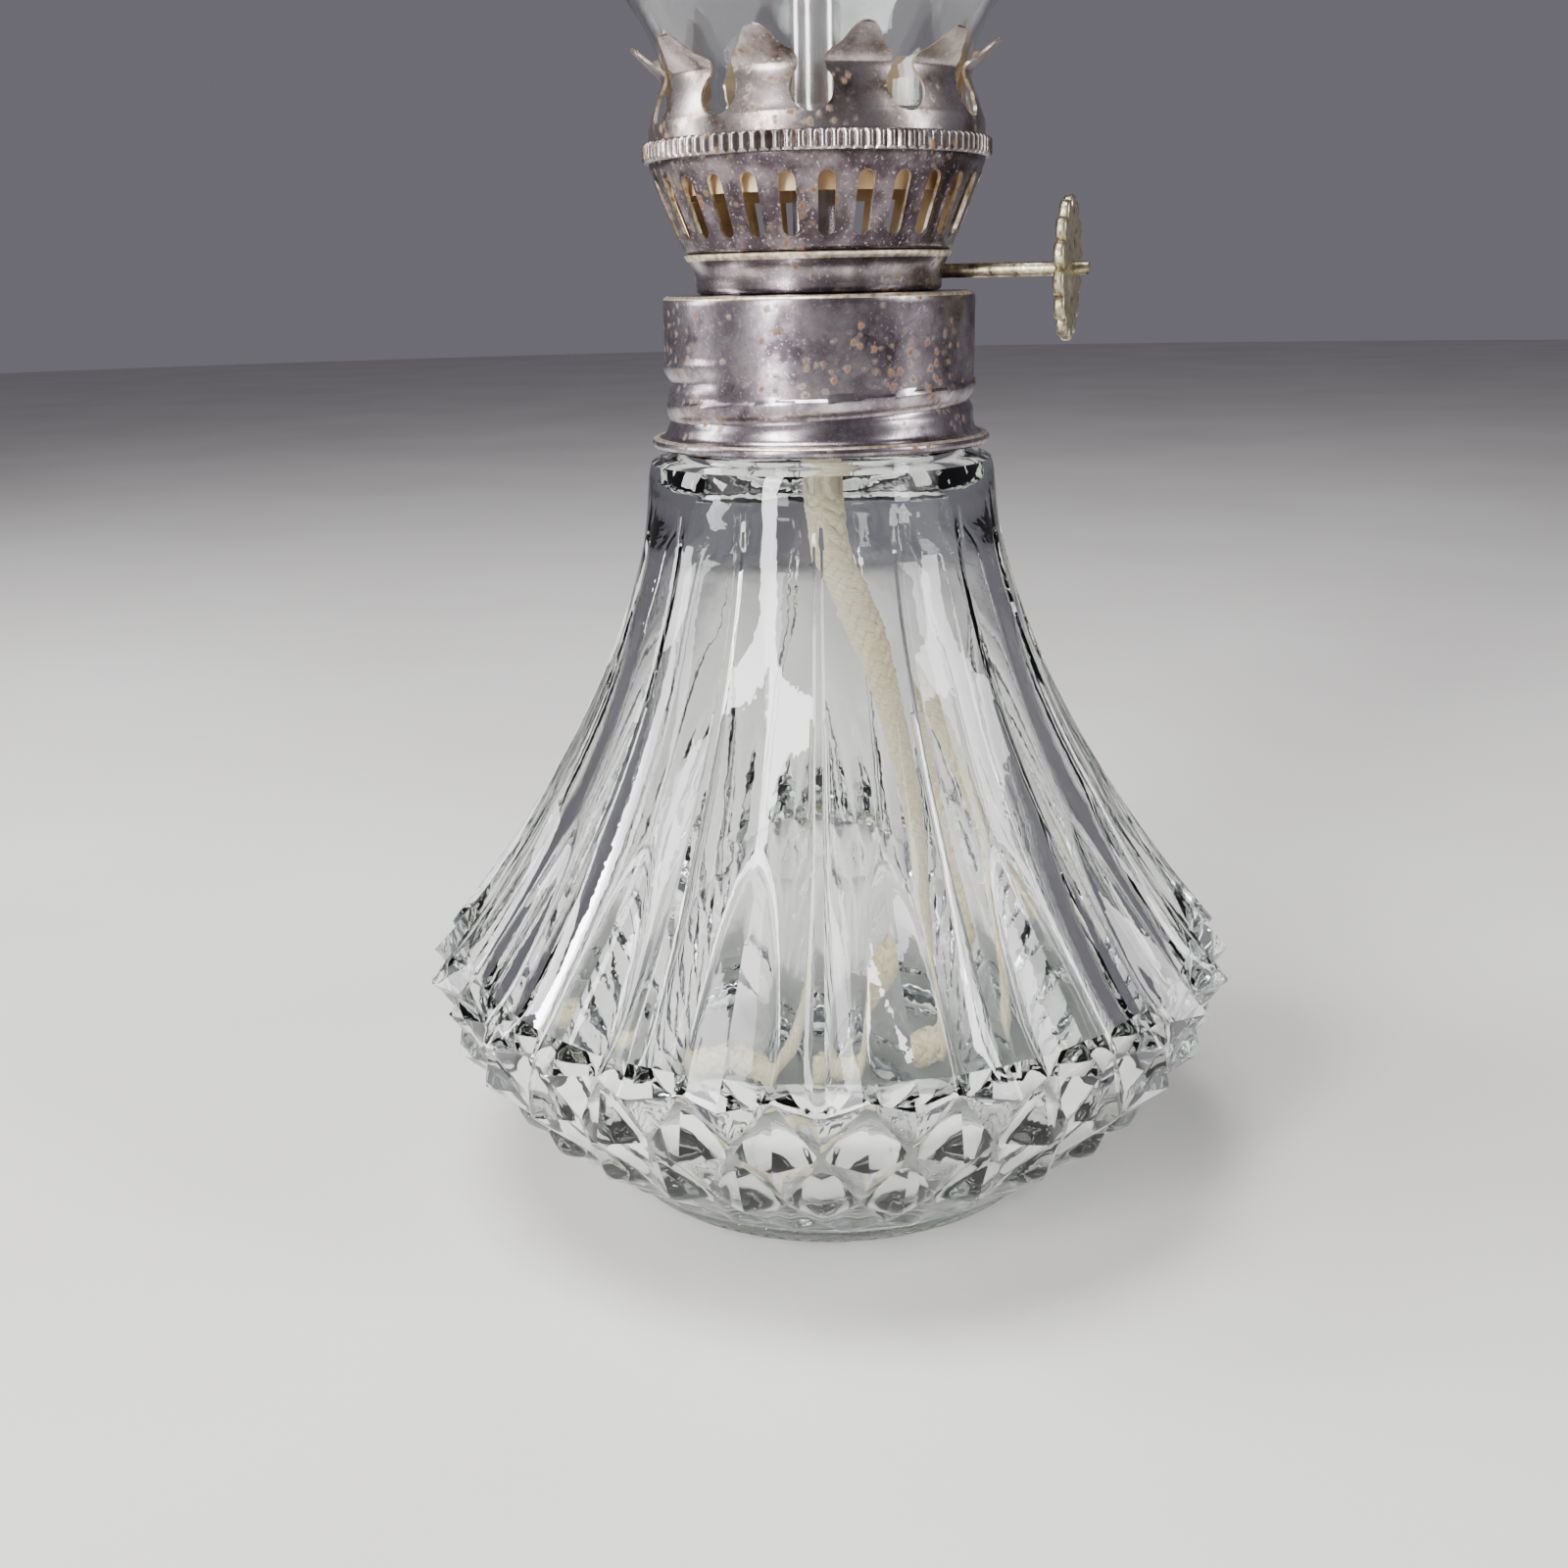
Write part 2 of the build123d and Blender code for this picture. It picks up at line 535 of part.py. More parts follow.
def make_prong_crown():
    """Knurled band, short collar and a ring of springy prongs that turn out at their tips."""
    bend = LEDGE_HEIGHT + PRONG_BEND_RISE
    inner = [
        (COLLAR_RADIUS, BASKET_TOP),
        (COLLAR_RADIUS, LEDGE_HEIGHT),
        (PRONG_GRIP_RADIUS, bend - PRONG_BEND_HALF_HEIGHT),
        (PRONG_GRIP_RADIUS, bend + PRONG_BEND_HALF_HEIGHT),
        (PRONG_GRIP_RADIUS + PRONG_ROLL_WIDTH, bend + PRONG_ROLL_RISE),
        (PRONG_TIP_RADIUS - SHEET, LEDGE_HEIGHT + PRONG_TIP_RISE),
    ]
    crown = sheet_turned(inner, -SHEET)
    cutter = prong_gap()
    for index in range(PRONG_COUNT):
        crown -= Rot(0, 0, PRONG_ANGLE + 360 * (index + 0.5) / PRONG_COUNT) * cutter
    return crown + knurled_band()


def make_air_diffuser():
    """Chimney ledge with a perforated dish inside it and a skirt below."""
    dish_top = LEDGE_HEIGHT - DISH_DEPTH
    hole = TUBE_RADIUS + DIFFUSER_TUBE_GAP
    diffuser = sheet_turned([
        (hole, dish_top - SHEET),
        (DISH_RADIUS, dish_top - SHEET),
        (LEDGE_INNER_RADIUS, LEDGE_UNDER),
        (COLLAR_RADIUS, LEDGE_UNDER),
    ])
    diffuser += ring(SKIRT_RADIUS, SKIRT_RADIUS - SHEET, SKIRT_BOTTOM, LEDGE_UNDER)
    punch = Cylinder(DIFFUSER_HOLE_RADIUS, 4 * SHEET)
    spacing = (DISH_RADIUS - hole) / DIFFUSER_HOLE_RINGS
    for index in range(DIFFUSER_HOLE_RINGS):
        radius = hole + spacing * (index + 0.5)
        count = round(2 * math.pi * radius / DIFFUSER_HOLE_PITCH)
        for place in PolarLocations(radius, count):
            diffuser -= Pos(0, 0, dish_top) * place * punch
    return diffuser


def make_chimney():
    """Straight fitter, onion bulge and a long stack that narrows to a straight top."""
    foot = LEDGE_HEIGHT
    fitter_top = foot + CHIMNEY_FITTER_HEIGHT
    bulge = foot + CHIMNEY_BULGE_HEIGHT
    waist = foot + CHIMNEY_WAIST_HEIGHT
    flare = [
        (CHIMNEY_FITTER_RADIUS, fitter_top),
        (CHIMNEY_FITTER_RADIUS + CHIMNEY_FLARE_WIDTH, fitter_top + CHIMNEY_FLARE_RISE),
        (CHIMNEY_BULGE_RADIUS, bulge),
        ((CHIMNEY_BULGE_RADIUS + CHIMNEY_TOP_RADIUS) / 2, (bulge + waist) / 2),
        (CHIMNEY_TOP_RADIUS, waist),
    ]
    inner_flare = [(x - CHIMNEY_WALL, z) for x, z in flare]
    fitter_inside = CHIMNEY_FITTER_RADIUS - CHIMNEY_WALL
    top_inside = CHIMNEY_TOP_RADIUS - CHIMNEY_WALL
    steady = [(0, 0, 1), (0, 0, 1)]
    edges = [
        Line((CHIMNEY_FITTER_RADIUS, 0, foot), (CHIMNEY_FITTER_RADIUS, 0, fitter_top)),
        Spline([(x, 0, z) for x, z in flare], tangents=steady),
        Line((CHIMNEY_TOP_RADIUS, 0, waist), (CHIMNEY_TOP_RADIUS, 0, CHIMNEY_TOP)),
        Line((CHIMNEY_TOP_RADIUS, 0, CHIMNEY_TOP), (top_inside, 0, CHIMNEY_TOP)),
        Line((top_inside, 0, CHIMNEY_TOP), (top_inside, 0, waist)),
        Spline([(x, 0, z) for x, z in inner_flare], tangents=steady),
        Line((fitter_inside, 0, fitter_top), (fitter_inside, 0, foot)),
        Line((fitter_inside, 0, foot), (CHIMNEY_FITTER_RADIUS, 0, foot)),
    ]
    outline = [edge for line in edges for edge in line.edges()]
    return revolve(make_face(outline), Axis.Z, 360)


def make_wick():
    return disc(WICK_RADIUS, WICK_BOTTOM, WICK_TOP)


def make_wick_tail():
    """Loose end of the wick: straight runs joined by tangent arcs, down to the font's floor."""
    heading = math.radians(TAIL_HEADING)
    route = list(TAIL_POINTS) + [(right, away, TAIL_FLOOR) for right, away in TAIL_FLOOR_POINTS]
    points = []
    for right, away, height in route:
        x = right * math.cos(heading) - away * math.sin(heading)
        y = right * math.sin(heading) + away * math.cos(heading)
        points.append(Vector(x, y, height))
    runs = [after - before for before, after in zip(points, points[1:])]
    radii = []
    for before, after in zip(runs, runs[1:]):
        half_turn = math.radians(before.get_angle(after)) / 2
        shorter = min(before.length, after.length)
        radii.append(TAIL_RUN_SHARE * shorter / math.tan(half_turn))
    path = FilletPolyline(*points, radius=radii)
    tail = sweep(Plane(origin=path @ 0, z_dir=path % 0) * Circle(WICK_RADIUS), path)
    expected = math.pi * WICK_RADIUS ** 2 * path.length
    print("wick tail radii", [round(radius, 1) for radius in radii])
    print("wick tail length", round(path.length, 1), "volume share", round(tail.volume / expected, 4))
    return tail


NODES = {
    "font_glass": make_font_glass,
    "cap_gasket": make_cap_gasket,
    "screw_collar": make_screw_collar,
    "burner_cup": make_burner_cup,
    "tube_flange": make_tube_flange,
    "wick_tube": make_wick_tube,
    "wheel_bracket": make_wheel_bracket,
    "spindle": make_spindle,
    "spur_wheel": make_spur_wheel,
    "wick_knob": make_wick_knob,
    "air_basket": make_air_basket,
    "prong_crown": make_prong_crown,
    "air_diffuser": make_air_diffuser,
    "chimney": make_chimney,
    "wick": make_wick,
    "wick_tail": make_wick_tail,
}

os.makedirs("parts", exist_ok=True)
for name, make in NODES.items():
    export_step(make(), f"parts/{name}.step")
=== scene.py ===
import math
import random

import bmesh
import bpy
import numpy as np
from mathutils import Matrix, Vector


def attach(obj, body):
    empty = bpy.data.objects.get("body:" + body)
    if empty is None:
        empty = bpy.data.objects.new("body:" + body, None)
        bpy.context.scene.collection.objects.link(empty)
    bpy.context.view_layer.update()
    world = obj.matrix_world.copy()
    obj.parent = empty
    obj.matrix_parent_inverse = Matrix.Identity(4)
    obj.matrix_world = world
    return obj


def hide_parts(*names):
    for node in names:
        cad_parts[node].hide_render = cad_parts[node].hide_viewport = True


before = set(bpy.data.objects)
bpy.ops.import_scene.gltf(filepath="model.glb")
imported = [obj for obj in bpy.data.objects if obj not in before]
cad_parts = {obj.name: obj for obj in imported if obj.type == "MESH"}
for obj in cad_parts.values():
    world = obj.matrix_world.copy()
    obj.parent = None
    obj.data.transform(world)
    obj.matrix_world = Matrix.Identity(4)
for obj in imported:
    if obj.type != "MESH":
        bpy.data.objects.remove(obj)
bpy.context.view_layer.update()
MM = 0.001


# ---------------------------------------------------------------- studio
# A plain pale table top, a pale room and four soft lamps.  They are staging and no part of
# the lamp.  The eye stands a little to the right, just above the cap, and looks slightly down.

EYE = Vector((52.4, -184.8, 103.4)) * MM
HEADING = math.radians(17.3)
LOOK_DOWN = math.radians(16.69)
HEAD_TILT = math.radians(-1.24)
TABLE_RADIUS = 2.4
ROOM_STRENGTH = 0.38
AIM = Vector((0, 0, 0.09))

bpy.ops.object.select_all(action="DESELECT")
bpy.ops.object.camera_add(location=EYE)
eye = bpy.context.object
eye.name = "eye"
eye.rotation_euler = (
    Matrix.Rotation(HEADING, 3, "Z")
    @ Matrix.Rotation(math.radians(90) - LOOK_DOWN, 3, "X")
    @ Matrix.Rotation(HEAD_TILT, 3, "Z")
).to_euler()
eye.data.sensor_width = 36
eye.data.lens = 38.87
eye.data.clip_start = 0.01
bpy.context.scene.camera = eye


def linear(code):
    """sRGB hex colour as the linear colour that nodes take."""
    shares = [int(code[i:i + 2], 16) / 255 for i in (1, 3, 5)]
    return [s / 12.92 if s <= 0.04045 else ((s + 0.055) / 1.055) ** 2.4 for s in shares] + [1.0]


def add(tree, kind, settings=None, **links):
    """Adds a node, with its settings and the values or links of its inputs."""
    node = tree.nodes.new("ShaderNode" + kind)
    for key, value in (settings or {}).items():
        setattr(node, key, value)
    for key, value in links.items():
        numbered = key[0] == "i" and key[1:].isdigit()
        socket = node.inputs[int(key[1:]) if numbered else key.replace("_", " ")]
        if isinstance(value, bpy.types.NodeSocket):
            tree.links.new(value, socket)
        else:
            socket.default_value = value
    return node


def new_material(name):
    """An empty procedural material: its node tree and its output node."""
    material = bpy.data.materials.new(name)
    material.use_nodes = True
    tree = material.node_tree
    tree.nodes.clear()
    return material, tree, tree.nodes.new("ShaderNodeOutputMaterial")


def ramp(tree, factor, stops):
    """Colour ramp through (place, hex colour) stops."""
    node = add(tree, "ValToRGB", i0=factor)
    band = node.color_ramp
    for index, (place, code) in enumerate(stops):
        stop = band.elements[index] if index < 2 else band.elements.new(place)
        stop.position = place
        stop.color = linear(code)
    return node.outputs["Color"]


def noise(tree, place, scale, detail, roughness=0.5):
    """Value of a noise pattern; a scale of 1000 has features of about 1 mm."""
    node = add(tree, "TexNoise", Vector=place, Scale=scale, Detail=detail, Roughness=roughness)
    return node.outputs["Fac"]


def relief(tree, height, strength, distance):
    """Normal of a bumped surface."""
    return add(tree, "Bump", Height=height, Strength=strength, Distance=distance).outputs[0]


def surface(tree, output, **links):
    """The material's shader, joined to its output."""
    shader = add(tree, "BsdfPrincipled", **links)
    tree.links.new(shader.outputs[0], output.inputs["Surface"])
    return shader


def painted_table():
    """Matt pale paint on board: broad faint clouding and a very fine roller texture."""
    material, tree, output = new_material("matt_pale_table_paint")
    place = add(tree, "TexCoord").outputs["Object"]
    cloud = noise(tree, place, 9.0, 3.0)
    colour = ramp(tree, cloud, ((0.3, "#cfccc9"), (0.7, "#d9d7d4")))
    grain = noise(tree, place, 900.0, 2.0)
    bump = relief(tree, grain, 0.06, 0.0004)
    surface(tree, output, Base_Color=colour, Roughness=0.62, Normal=bump)
    return material


bpy.ops.object.select_all(action="DESELECT")
bpy.ops.mesh.primitive_circle_add(vertices=128, radius=TABLE_RADIUS, fill_type="NGON")
table_top = bpy.context.object
table_top.name = "table_top"
table_top.data.materials.append(painted_table())

room = bpy.data.worlds.new("pale_room")
bpy.context.scene.world = room
room.use_nodes = True
room.node_tree.nodes["Background"].inputs["Color"].default_value = linear("#aca8b4")
room.node_tree.nodes["Background"].inputs["Strength"].default_value = ROOM_STRENGTH

SOFT_LAMPS = (
    ("overhead_lamp", (-0.10, -0.10, 0.62), 0.26, 0.26, 5.5),
    ("front_strip_lamp", (-0.16, -0.52, 0.26), 0.10, 0.42, 5.0),
    ("left_lamp", (-0.55, -0.10, 0.30), 0.16, 0.40, 3.2),
    ("right_lamp", (0.58, -0.05, 0.34), 0.14, 0.40, 2.6),
)
for lamp_name, spot, width, tall, power in SOFT_LAMPS:
    bpy.ops.object.light_add(type="AREA", location=spot)
    lamp = bpy.context.object
    lamp.name = lamp_name
    lamp.data.shape = "RECTANGLE"
    lamp.data.size = width
    lamp.data.size_y = tall
    lamp.data.energy = power
    aim = AIM - Vector(spot)
    lamp.rotation_euler = aim.to_track_quat("-Z", "Y").to_euler()


# ---------------------------------------------------------------- wick tail
# A limp round wick of braided white cotton, sixteen yarns, two over two, which makes its
# herringbone.  It hangs out of the plated tube into the font and lies along the glass floor.

WICK_DIAMETER = 4.6
YARNS_EACH_WAY = 8
BRAID_PITCH = 15.0
YARN_WIDTH = 1.3
YARN_THICKNESS = 0.74
CROSSING_RISE = 0.24
TAIL_HEADING = math.radians(17.3)
TAIL_FLOOR = 9.6
TAIL_ROUTE = (
    (0.0, 0.0, 90.0),
    (0.0, 0.0, 79.6),
    (2.4, 0.6, 69.8),
    (6.6, 1.8, 60.2),
    (11.4, 3.0, 50.6),
    (15.6, 3.2, 40.8),
    (17.6, 1.6, 30.4),
    (14.4, -1.8, 20.6),
    (6.4, -5.6, 13.0),
    (-4.2, -8.4, TAIL_FLOOR),
    (-14.4, -6.6, TAIL_FLOOR),
    (-22.0, 0.4, TAIL_FLOOR),
)


def smooth_line(name, points):
    """Points along a smooth curve through the run of a route's control points, in metres."""
    curve = bpy.data.curves.new(name, "CURVE")
    curve.dimensions = "3D"
    curve.resolution_u = 24
    spline = curve.splines.new("NURBS")
    spline.points.add(len(points) - 1)
    for control, place in zip(spline.points, points):
        control.co = (*place, 1.0)
    spline.order_u = 3
    spline.use_endpoint_u = True
    holder = bpy.data.objects.new(name, curve)
    line = bpy.data.meshes.new_from_object(holder)
    places = [vertex.co.copy() for vertex in line.vertices]
    bpy.data.objects.remove(holder)
    return places


def even_frames(places, step):
    """Evenly spaced (distance, point, side, other side) along a line, with no twist."""
    lengths = [0.0]
    for before, after in zip(places, places[1:]):
        lengths.append(lengths[-1] + (after - before).length)
    count = max(2, round(lengths[-1] / step))
    frames = []
    segment = 0
    side = Vector((1, 0, 0))
    for index in range(count + 1):
        distance = lengths[-1] * index / count
        while segment < len(places) - 2 and lengths[segment + 1] < distance:
            segment += 1
        run = places[segment + 1] - places[segment]
        share = (distance - lengths[segment]) / max(run.length, 1e-9)
        along = run.normalized()
        side = (side - along * side.dot(along)).normalized()
        frames.append((distance, places[segment] + run * share, side.copy(), along.cross(side)))
    return frames


def braided_wick(name, places, seed):
    """Sixteen yarns braided round a line, a plain core and loose fibres, as one mesh."""
    frames = even_frames(places, 0.42 * MM)
    middle = (0.5 * (WICK_DIAMETER - YARN_THICKNESS) - CROSSING_RISE) * MM
    corners, faces, layout = [], [], []
    ring_steps = 8

    def tube(ring_rows):
        """Closed tube through rings of points."""
        start = len(corners)
        steps = len(ring_rows[0])
        for row in ring_rows:
            corners.extend(row)
        for row in range(len(ring_rows) - 1):
            for step in range(steps):
                following = (step + 1) % steps
                faces.append((
                    start + row * steps + step, start + row * steps + following,
                    start + (row + 1) * steps + following, start + (row + 1) * steps + step))
                layout.extend([
                    (row, step / steps), (row, (step + 1) / steps),
                    (row + 1, (step + 1) / steps), (row + 1, step / steps)])
        for cap, turn in ((0, -1), (len(ring_rows) - 1, 1)):
            faces.append(tuple(start + cap * steps + step for step in range(steps))[::turn])
            layout.extend([(cap, 0.5)] * steps)

    for turning in (1, -1):
        for yarn in range(YARNS_EACH_WAY):
            rows = []
            for distance, point, side, other in frames:
                travel = distance / (BRAID_PITCH * MM)
                angle = 2 * math.pi * (turning * travel + yarn / YARNS_EACH_WAY)
                crossing = 2 * YARNS_EACH_WAY * travel
                wave = math.cos(math.pi / 2 * (turning * crossing + 2 * yarn) - math.pi / 4)
                radius = middle + turning * CROSSING_RISE * MM * wave
                outward = side * math.cos(angle) + other * math.sin(angle)
                around = other * math.cos(angle) - side * math.sin(angle)
                centre = point + outward * radius
                row = []
                for step in range(ring_steps):
                    turn = 2 * math.pi * step / ring_steps
                    row.append(
                        centre
                        + around * (0.62 * YARN_WIDTH * MM * math.cos(turn))
                        + outward * (0.5 * YARN_THICKNESS * MM * math.sin(turn)))
                rows.append(row)
            tube(rows)
    core = []
    for distance, point, side, other in frames[::4]:
        row = []
        for step in range(16):
            turn = 2 * math.pi * step / 16
            row.append(point + (side * math.cos(turn) + other * math.sin(turn)) * middle)
        core.append(row)
    tube(core)
    chance = random.Random(seed)
    for fibre in range(round(1.6 * len(frames))):
        distance, point, side, other = frames[chance.randrange(2, len(frames) - 2)]
        angle = chance.uniform(0, 2 * math.pi)
        outward = side * math.cos(angle) + other * math.sin(angle)
        along = side.cross(other)
        around = other * math.cos(angle) - side * math.sin(angle)
        lean = along * chance.uniform(-1, 1) + around * chance.uniform(-1, 1)
        length = chance.uniform(0.25, 0.9) * MM
        start = point + outward * (0.5 * WICK_DIAMETER - 0.35) * MM
        rows = []
        for share in (0.0, 0.5, 1.0):
            middle_point = start + outward * length * share * (1 - 0.45 * share)
            middle_point = middle_point + lean * length * share * share
            width = 0.018 * MM * (1 - 0.6 * share)
            rows.append([middle_point + side * width, middle_point + other * width,
                middle_point - (side + other) * width])
        tube(rows)
    mesh = bpy.data.meshes.new(name)
    mesh.from_pydata(corners, [], faces)
    strand = mesh.uv_layers.new(name="strand")
    strand.data.foreach_set("uv", [value for pair in layout for value in pair])
    mesh.validate()
    piece = bpy.data.objects.new(name, mesh)
    bpy.context.scene.collection.objects.link(piece)
    for polygon in mesh.polygons:
        polygon.use_smooth = True
    return piece


def braided_cotton():
    """Unbleached cotton yarn: warm cream, with the ply's fine twist and painted shade darkening its
    grooves.
    """
    material, tree, output = new_material("braided_cotton_wick")
    place = add(tree, "TexCoord")
    twist = add(tree, "Mapping", Vector=place.outputs["UV"])
    twist.inputs["Scale"].default_value = (0.9, 6.0, 1.0)
    twist.inputs["Rotation"].default_value = (0.0, 0.0, 0.7)
    ply = add(tree, "TexWave", {"wave_type": "BANDS"}, Vector=twist.outputs[0], Scale=0.35,
        Distortion=1.5, Detail=2.0)
    lint = noise(tree, place.outputs["Object"], 2600.0, 3.0)
    stain = noise(tree, place.outputs["Object"], 70.0, 2.0)
    colour = ramp(tree, stain, ((0.3, "#efe0b8"), (0.55, "#f7edd3"), (0.8, "#fbf5e6")))
    # Painted shade: the ply's grooves are multiplied darker into the cream.
    shade = add(tree, "Mix", {"data_type": "RGBA", "blend_type": "MULTIPLY"}, Factor=0.25,
        i6=colour, i7=ramp(
        tree, ply.outputs["Fac"], ((0.0, "#b7a681"), (0.6, "#ffffff"))))
    height = add(tree, "Math", {"operation": "ADD"}, i0=ply.outputs["Fac"], i1=lint)
    bump = relief(tree, height.outputs[0], 0.5, 0.00008)
    shader = surface(tree, output, Base_Color=shade.outputs[2], Roughness=0.92, Normal=bump)
    shader.inputs["Sheen Weight"].default_value = 0.35
    shader.inputs["Sheen Roughness"].default_value = 0.5
    shader.inputs["Subsurface Weight"].default_value = 0.15
    shader.inputs["Subsurface Radius"].default_value = (0.0008, 0.0006, 0.0004)
    return material


cotton = braided_cotton()
tail_points = []
for right, away, height in TAIL_ROUTE:
    across = right * math.cos(TAIL_HEADING) - away * math.sin(TAIL_HEADING)
    deep = right * math.sin(TAIL_HEADING) + away * math.cos(TAIL_HEADING)
    tail_points.append(Vector((across, deep, height)) * MM)
tail_line = smooth_line("wick_tail_route", tail_points)
wick_tail = braided_wick("wick_tail_braid", tail_line, 3)
wick_tail.data.materials.append(cotton)
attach(wick_tail, "font")
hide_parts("wick_tail")


# ---------------------------------------------------------------- font
# The font is one piece of clear soda-lime glass, pressed in an iron mould.  Diamonds in
# rows run round under the belly, and long and short ribs alternate above it up to the shoulder.

FOOT_HEIGHT = 3.0
JOIN_RADIUS = 28.5
BELLY_RADIUS = 47.4
BELLY_HEIGHT = 26.8
SHOULDER_RADIUS = 19.2
SHOULDER_HEIGHT = 84.4
NECK_RADIUS = 15.4
NECK_BORE = 12.0
RIM_HEIGHT = 99.7
LONG_RIBS = 15
LONG_RIB_ANGLE = -75.5
LATTICE_STEP = 360 / (4 * LONG_RIBS)
RIB_RELIEF = 3.0
LONG_RIB_END = 0.72
SHORT_RIB_END = 0.34
GLASS_WALL = 3.2
CAVITY_FLOOR = 7.0
LATTICE_ROWS = ((0.0, 0.0), (0.08, 1.3), (0.35, 2.6), (0.70, 2.9), (1.0, RIB_RELIEF))
CELL_CUTS = 8
FOOT_DOTS = 96
FLAT_CREST = 0.75
CREST_STEP = 0.32
DOT_HEIGHT = 1.2
DOT_REACH = 0.6
DOT_RISE = 0.3
THREAD_PITCH = 4.2
NECK_THREAD_START = 89.6
NECK_THREAD_TURNS = 1.9
NECK_THREAD_RISE = 0.6


def turn_outline(name, outline, steps):
    """Spins an outline of (radius, height) points, in mm, about the lamp's axis into a mesh."""
    bpy.ops.object.select_all(action="DESELECT")
    radius, height = outline[0]
    bpy.ops.mesh.primitive_plane_add(size=MM, location=(radius * MM, 0, height * MM))
    piece = bpy.context.object
    piece.name = name
    piece.data.name = name
    bpy.ops.object.transform_apply(location=True)
    bpy.ops.object.mode_set(mode="EDIT")
    bpy.ops.mesh.merge(type="CENTER")
    for (r0, z0), (r1, z1) in zip(outline, outline[1:]):
        step = ((r1 - r0) * MM, 0, (z1 - z0) * MM)
        bpy.ops.mesh.extrude_region_move(TRANSFORM_OT_translate={"value": step})
    bpy.ops.mesh.select_all(action="SELECT")
    bpy.ops.mesh.spin(steps=steps, angle=2 * math.pi, center=(0, 0, 0), axis=(0, 0, 1))
    bpy.ops.mesh.select_all(action="SELECT")
    bpy.ops.mesh.remove_doubles(threshold=0.002 * MM)
    bpy.ops.mesh.normals_make_consistent(inside=False)
    bpy.ops.object.mode_set(mode="OBJECT")
    return piece


def only(piece):
    """Leaves one piece selected and active."""
    bpy.ops.object.select_all(action="DESELECT")
    piece.select_set(True)
    bpy.context.view_layer.objects.active = piece


def smooth_shading(piece, degrees):
    """Smooth shading that keeps edges sharper than the angle."""
    only(piece)
    bpy.ops.object.shade_smooth_by_angle(angle=math.radians(degrees))


def polar(piece):
    """A mesh's points as numpy arrays of angle in degrees, radius and height in mm."""
    flat = np.zeros(3 * len(piece.data.vertices))
    piece.data.vertices.foreach_get("co", flat)
    x, y, z = flat.reshape(-1, 3).T / MM
    return np.degrees(np.arctan2(y, x)), np.hypot(x, y), z


def set_polar(piece, angle, radius, height):
    """Puts a mesh's points at these angles, radii and heights."""
    turn = np.radians(angle)
    points = np.stack([radius * np.cos(turn), radius * np.sin(turn), height], axis=1) * MM
    piece.data.vertices.foreach_set("co", points.ravel())
    piece.data.update()


def share_above(height):
    """Share of the way from the belly up to the shoulder."""
    return np.clip((height - BELLY_HEIGHT) / (SHOULDER_HEIGHT - BELLY_HEIGHT), 0, 1)


def share_below(height):
    """Share of the way from the foot up to the belly."""
    return np.clip((height - FOOT_HEIGHT) / (BELLY_HEIGHT - FOOT_HEIGHT), 0, 1)


def crest_above(share):
    """Crest radius of the ribs, from the belly at 0 to the shoulder at 1."""
    return SHOULDER_RADIUS + (BELLY_RADIUS - SHOULDER_RADIUS) * (1 - share) ** 1.7


def valley_above(share):
    """Radius between the ribs."""
    return crest_above(share) - RIB_RELIEF * np.maximum(0, 1 - share / LONG_RIB_END) ** 1.3


def crest_below(share):
    """Crest radius of the diamonds, from the foot at 0 to the belly at 1."""
    return JOIN_RADIUS + (BELLY_RADIUS - JOIN_RADIUS) * (1 - (1 - share) ** 2)


def ribbed_radius(angle, height):
    """Outside of the font above the belly: sharp long ribs and short ribs under pointed arches."""
    share = share_above(height)
    crest = crest_above(share)
    valley = crest - RIB_RELIEF * np.maximum(0, 1 - share / LONG_RIB_END) ** 0.9
    period = 4 * LATTICE_STEP
    from_long = np.abs((angle - LONG_RIB_ANGLE + period / 2) % period - period / 2)
    from_short = period / 2 - from_long
    past_crest = np.maximum(from_long - FLAT_CREST, 0)
    to_mm = np.pi / 180 * crest
    cell = LATTICE_STEP * to_mm
    rise = np.clip(share / SHORT_RIB_END, 0, 1)
    short_width = cell * np.sqrt(np.maximum(0, 1 - rise ** 2.2)) + 1e-6
    long_width = 2 * cell - short_width
    hollow = 1 + 0.9 * np.clip(share / 0.07, 0, 1)
    long_rib = (crest - valley) * np.clip(1 - past_crest * to_mm / long_width, 0, 1) ** hollow
    short_rib = (crest - valley) * (1 - rise ** 2) * np.clip(1 - from_short * to_mm / short_width,
        0, 1)
    start = np.clip(share / 0.05, 0, 1) * np.clip((0.93 - share) / 0.1, 0, 1)
    step_down = CREST_STEP * start * np.clip(past_crest / FLAT_CREST, 0, 1)
    return valley + np.maximum(long_rib - step_down, short_rib - step_down)


def lattice_corner(row, column):
    """Radius of the diamonds' lattice where a row meets a column: low at its nodes."""
    share, relief = LATTICE_ROWS[row]
    low = (column % 2 == 1) == (row % 2 == 0)
    return crest_below(share) - np.where(low & (row > 0), relief, 0.0)


def diamond_radius(angle, height):
    """Outside of the font below the belly, with the facets' edges melted round."""
    near = [(0, 0)] + [(turn, rise) for turn in (-0.35, 0.35) for rise in (-0.25, 0.25)]
    return sum(facet_radius(angle + turn, height + rise) for turn, rise in near) / len(near)


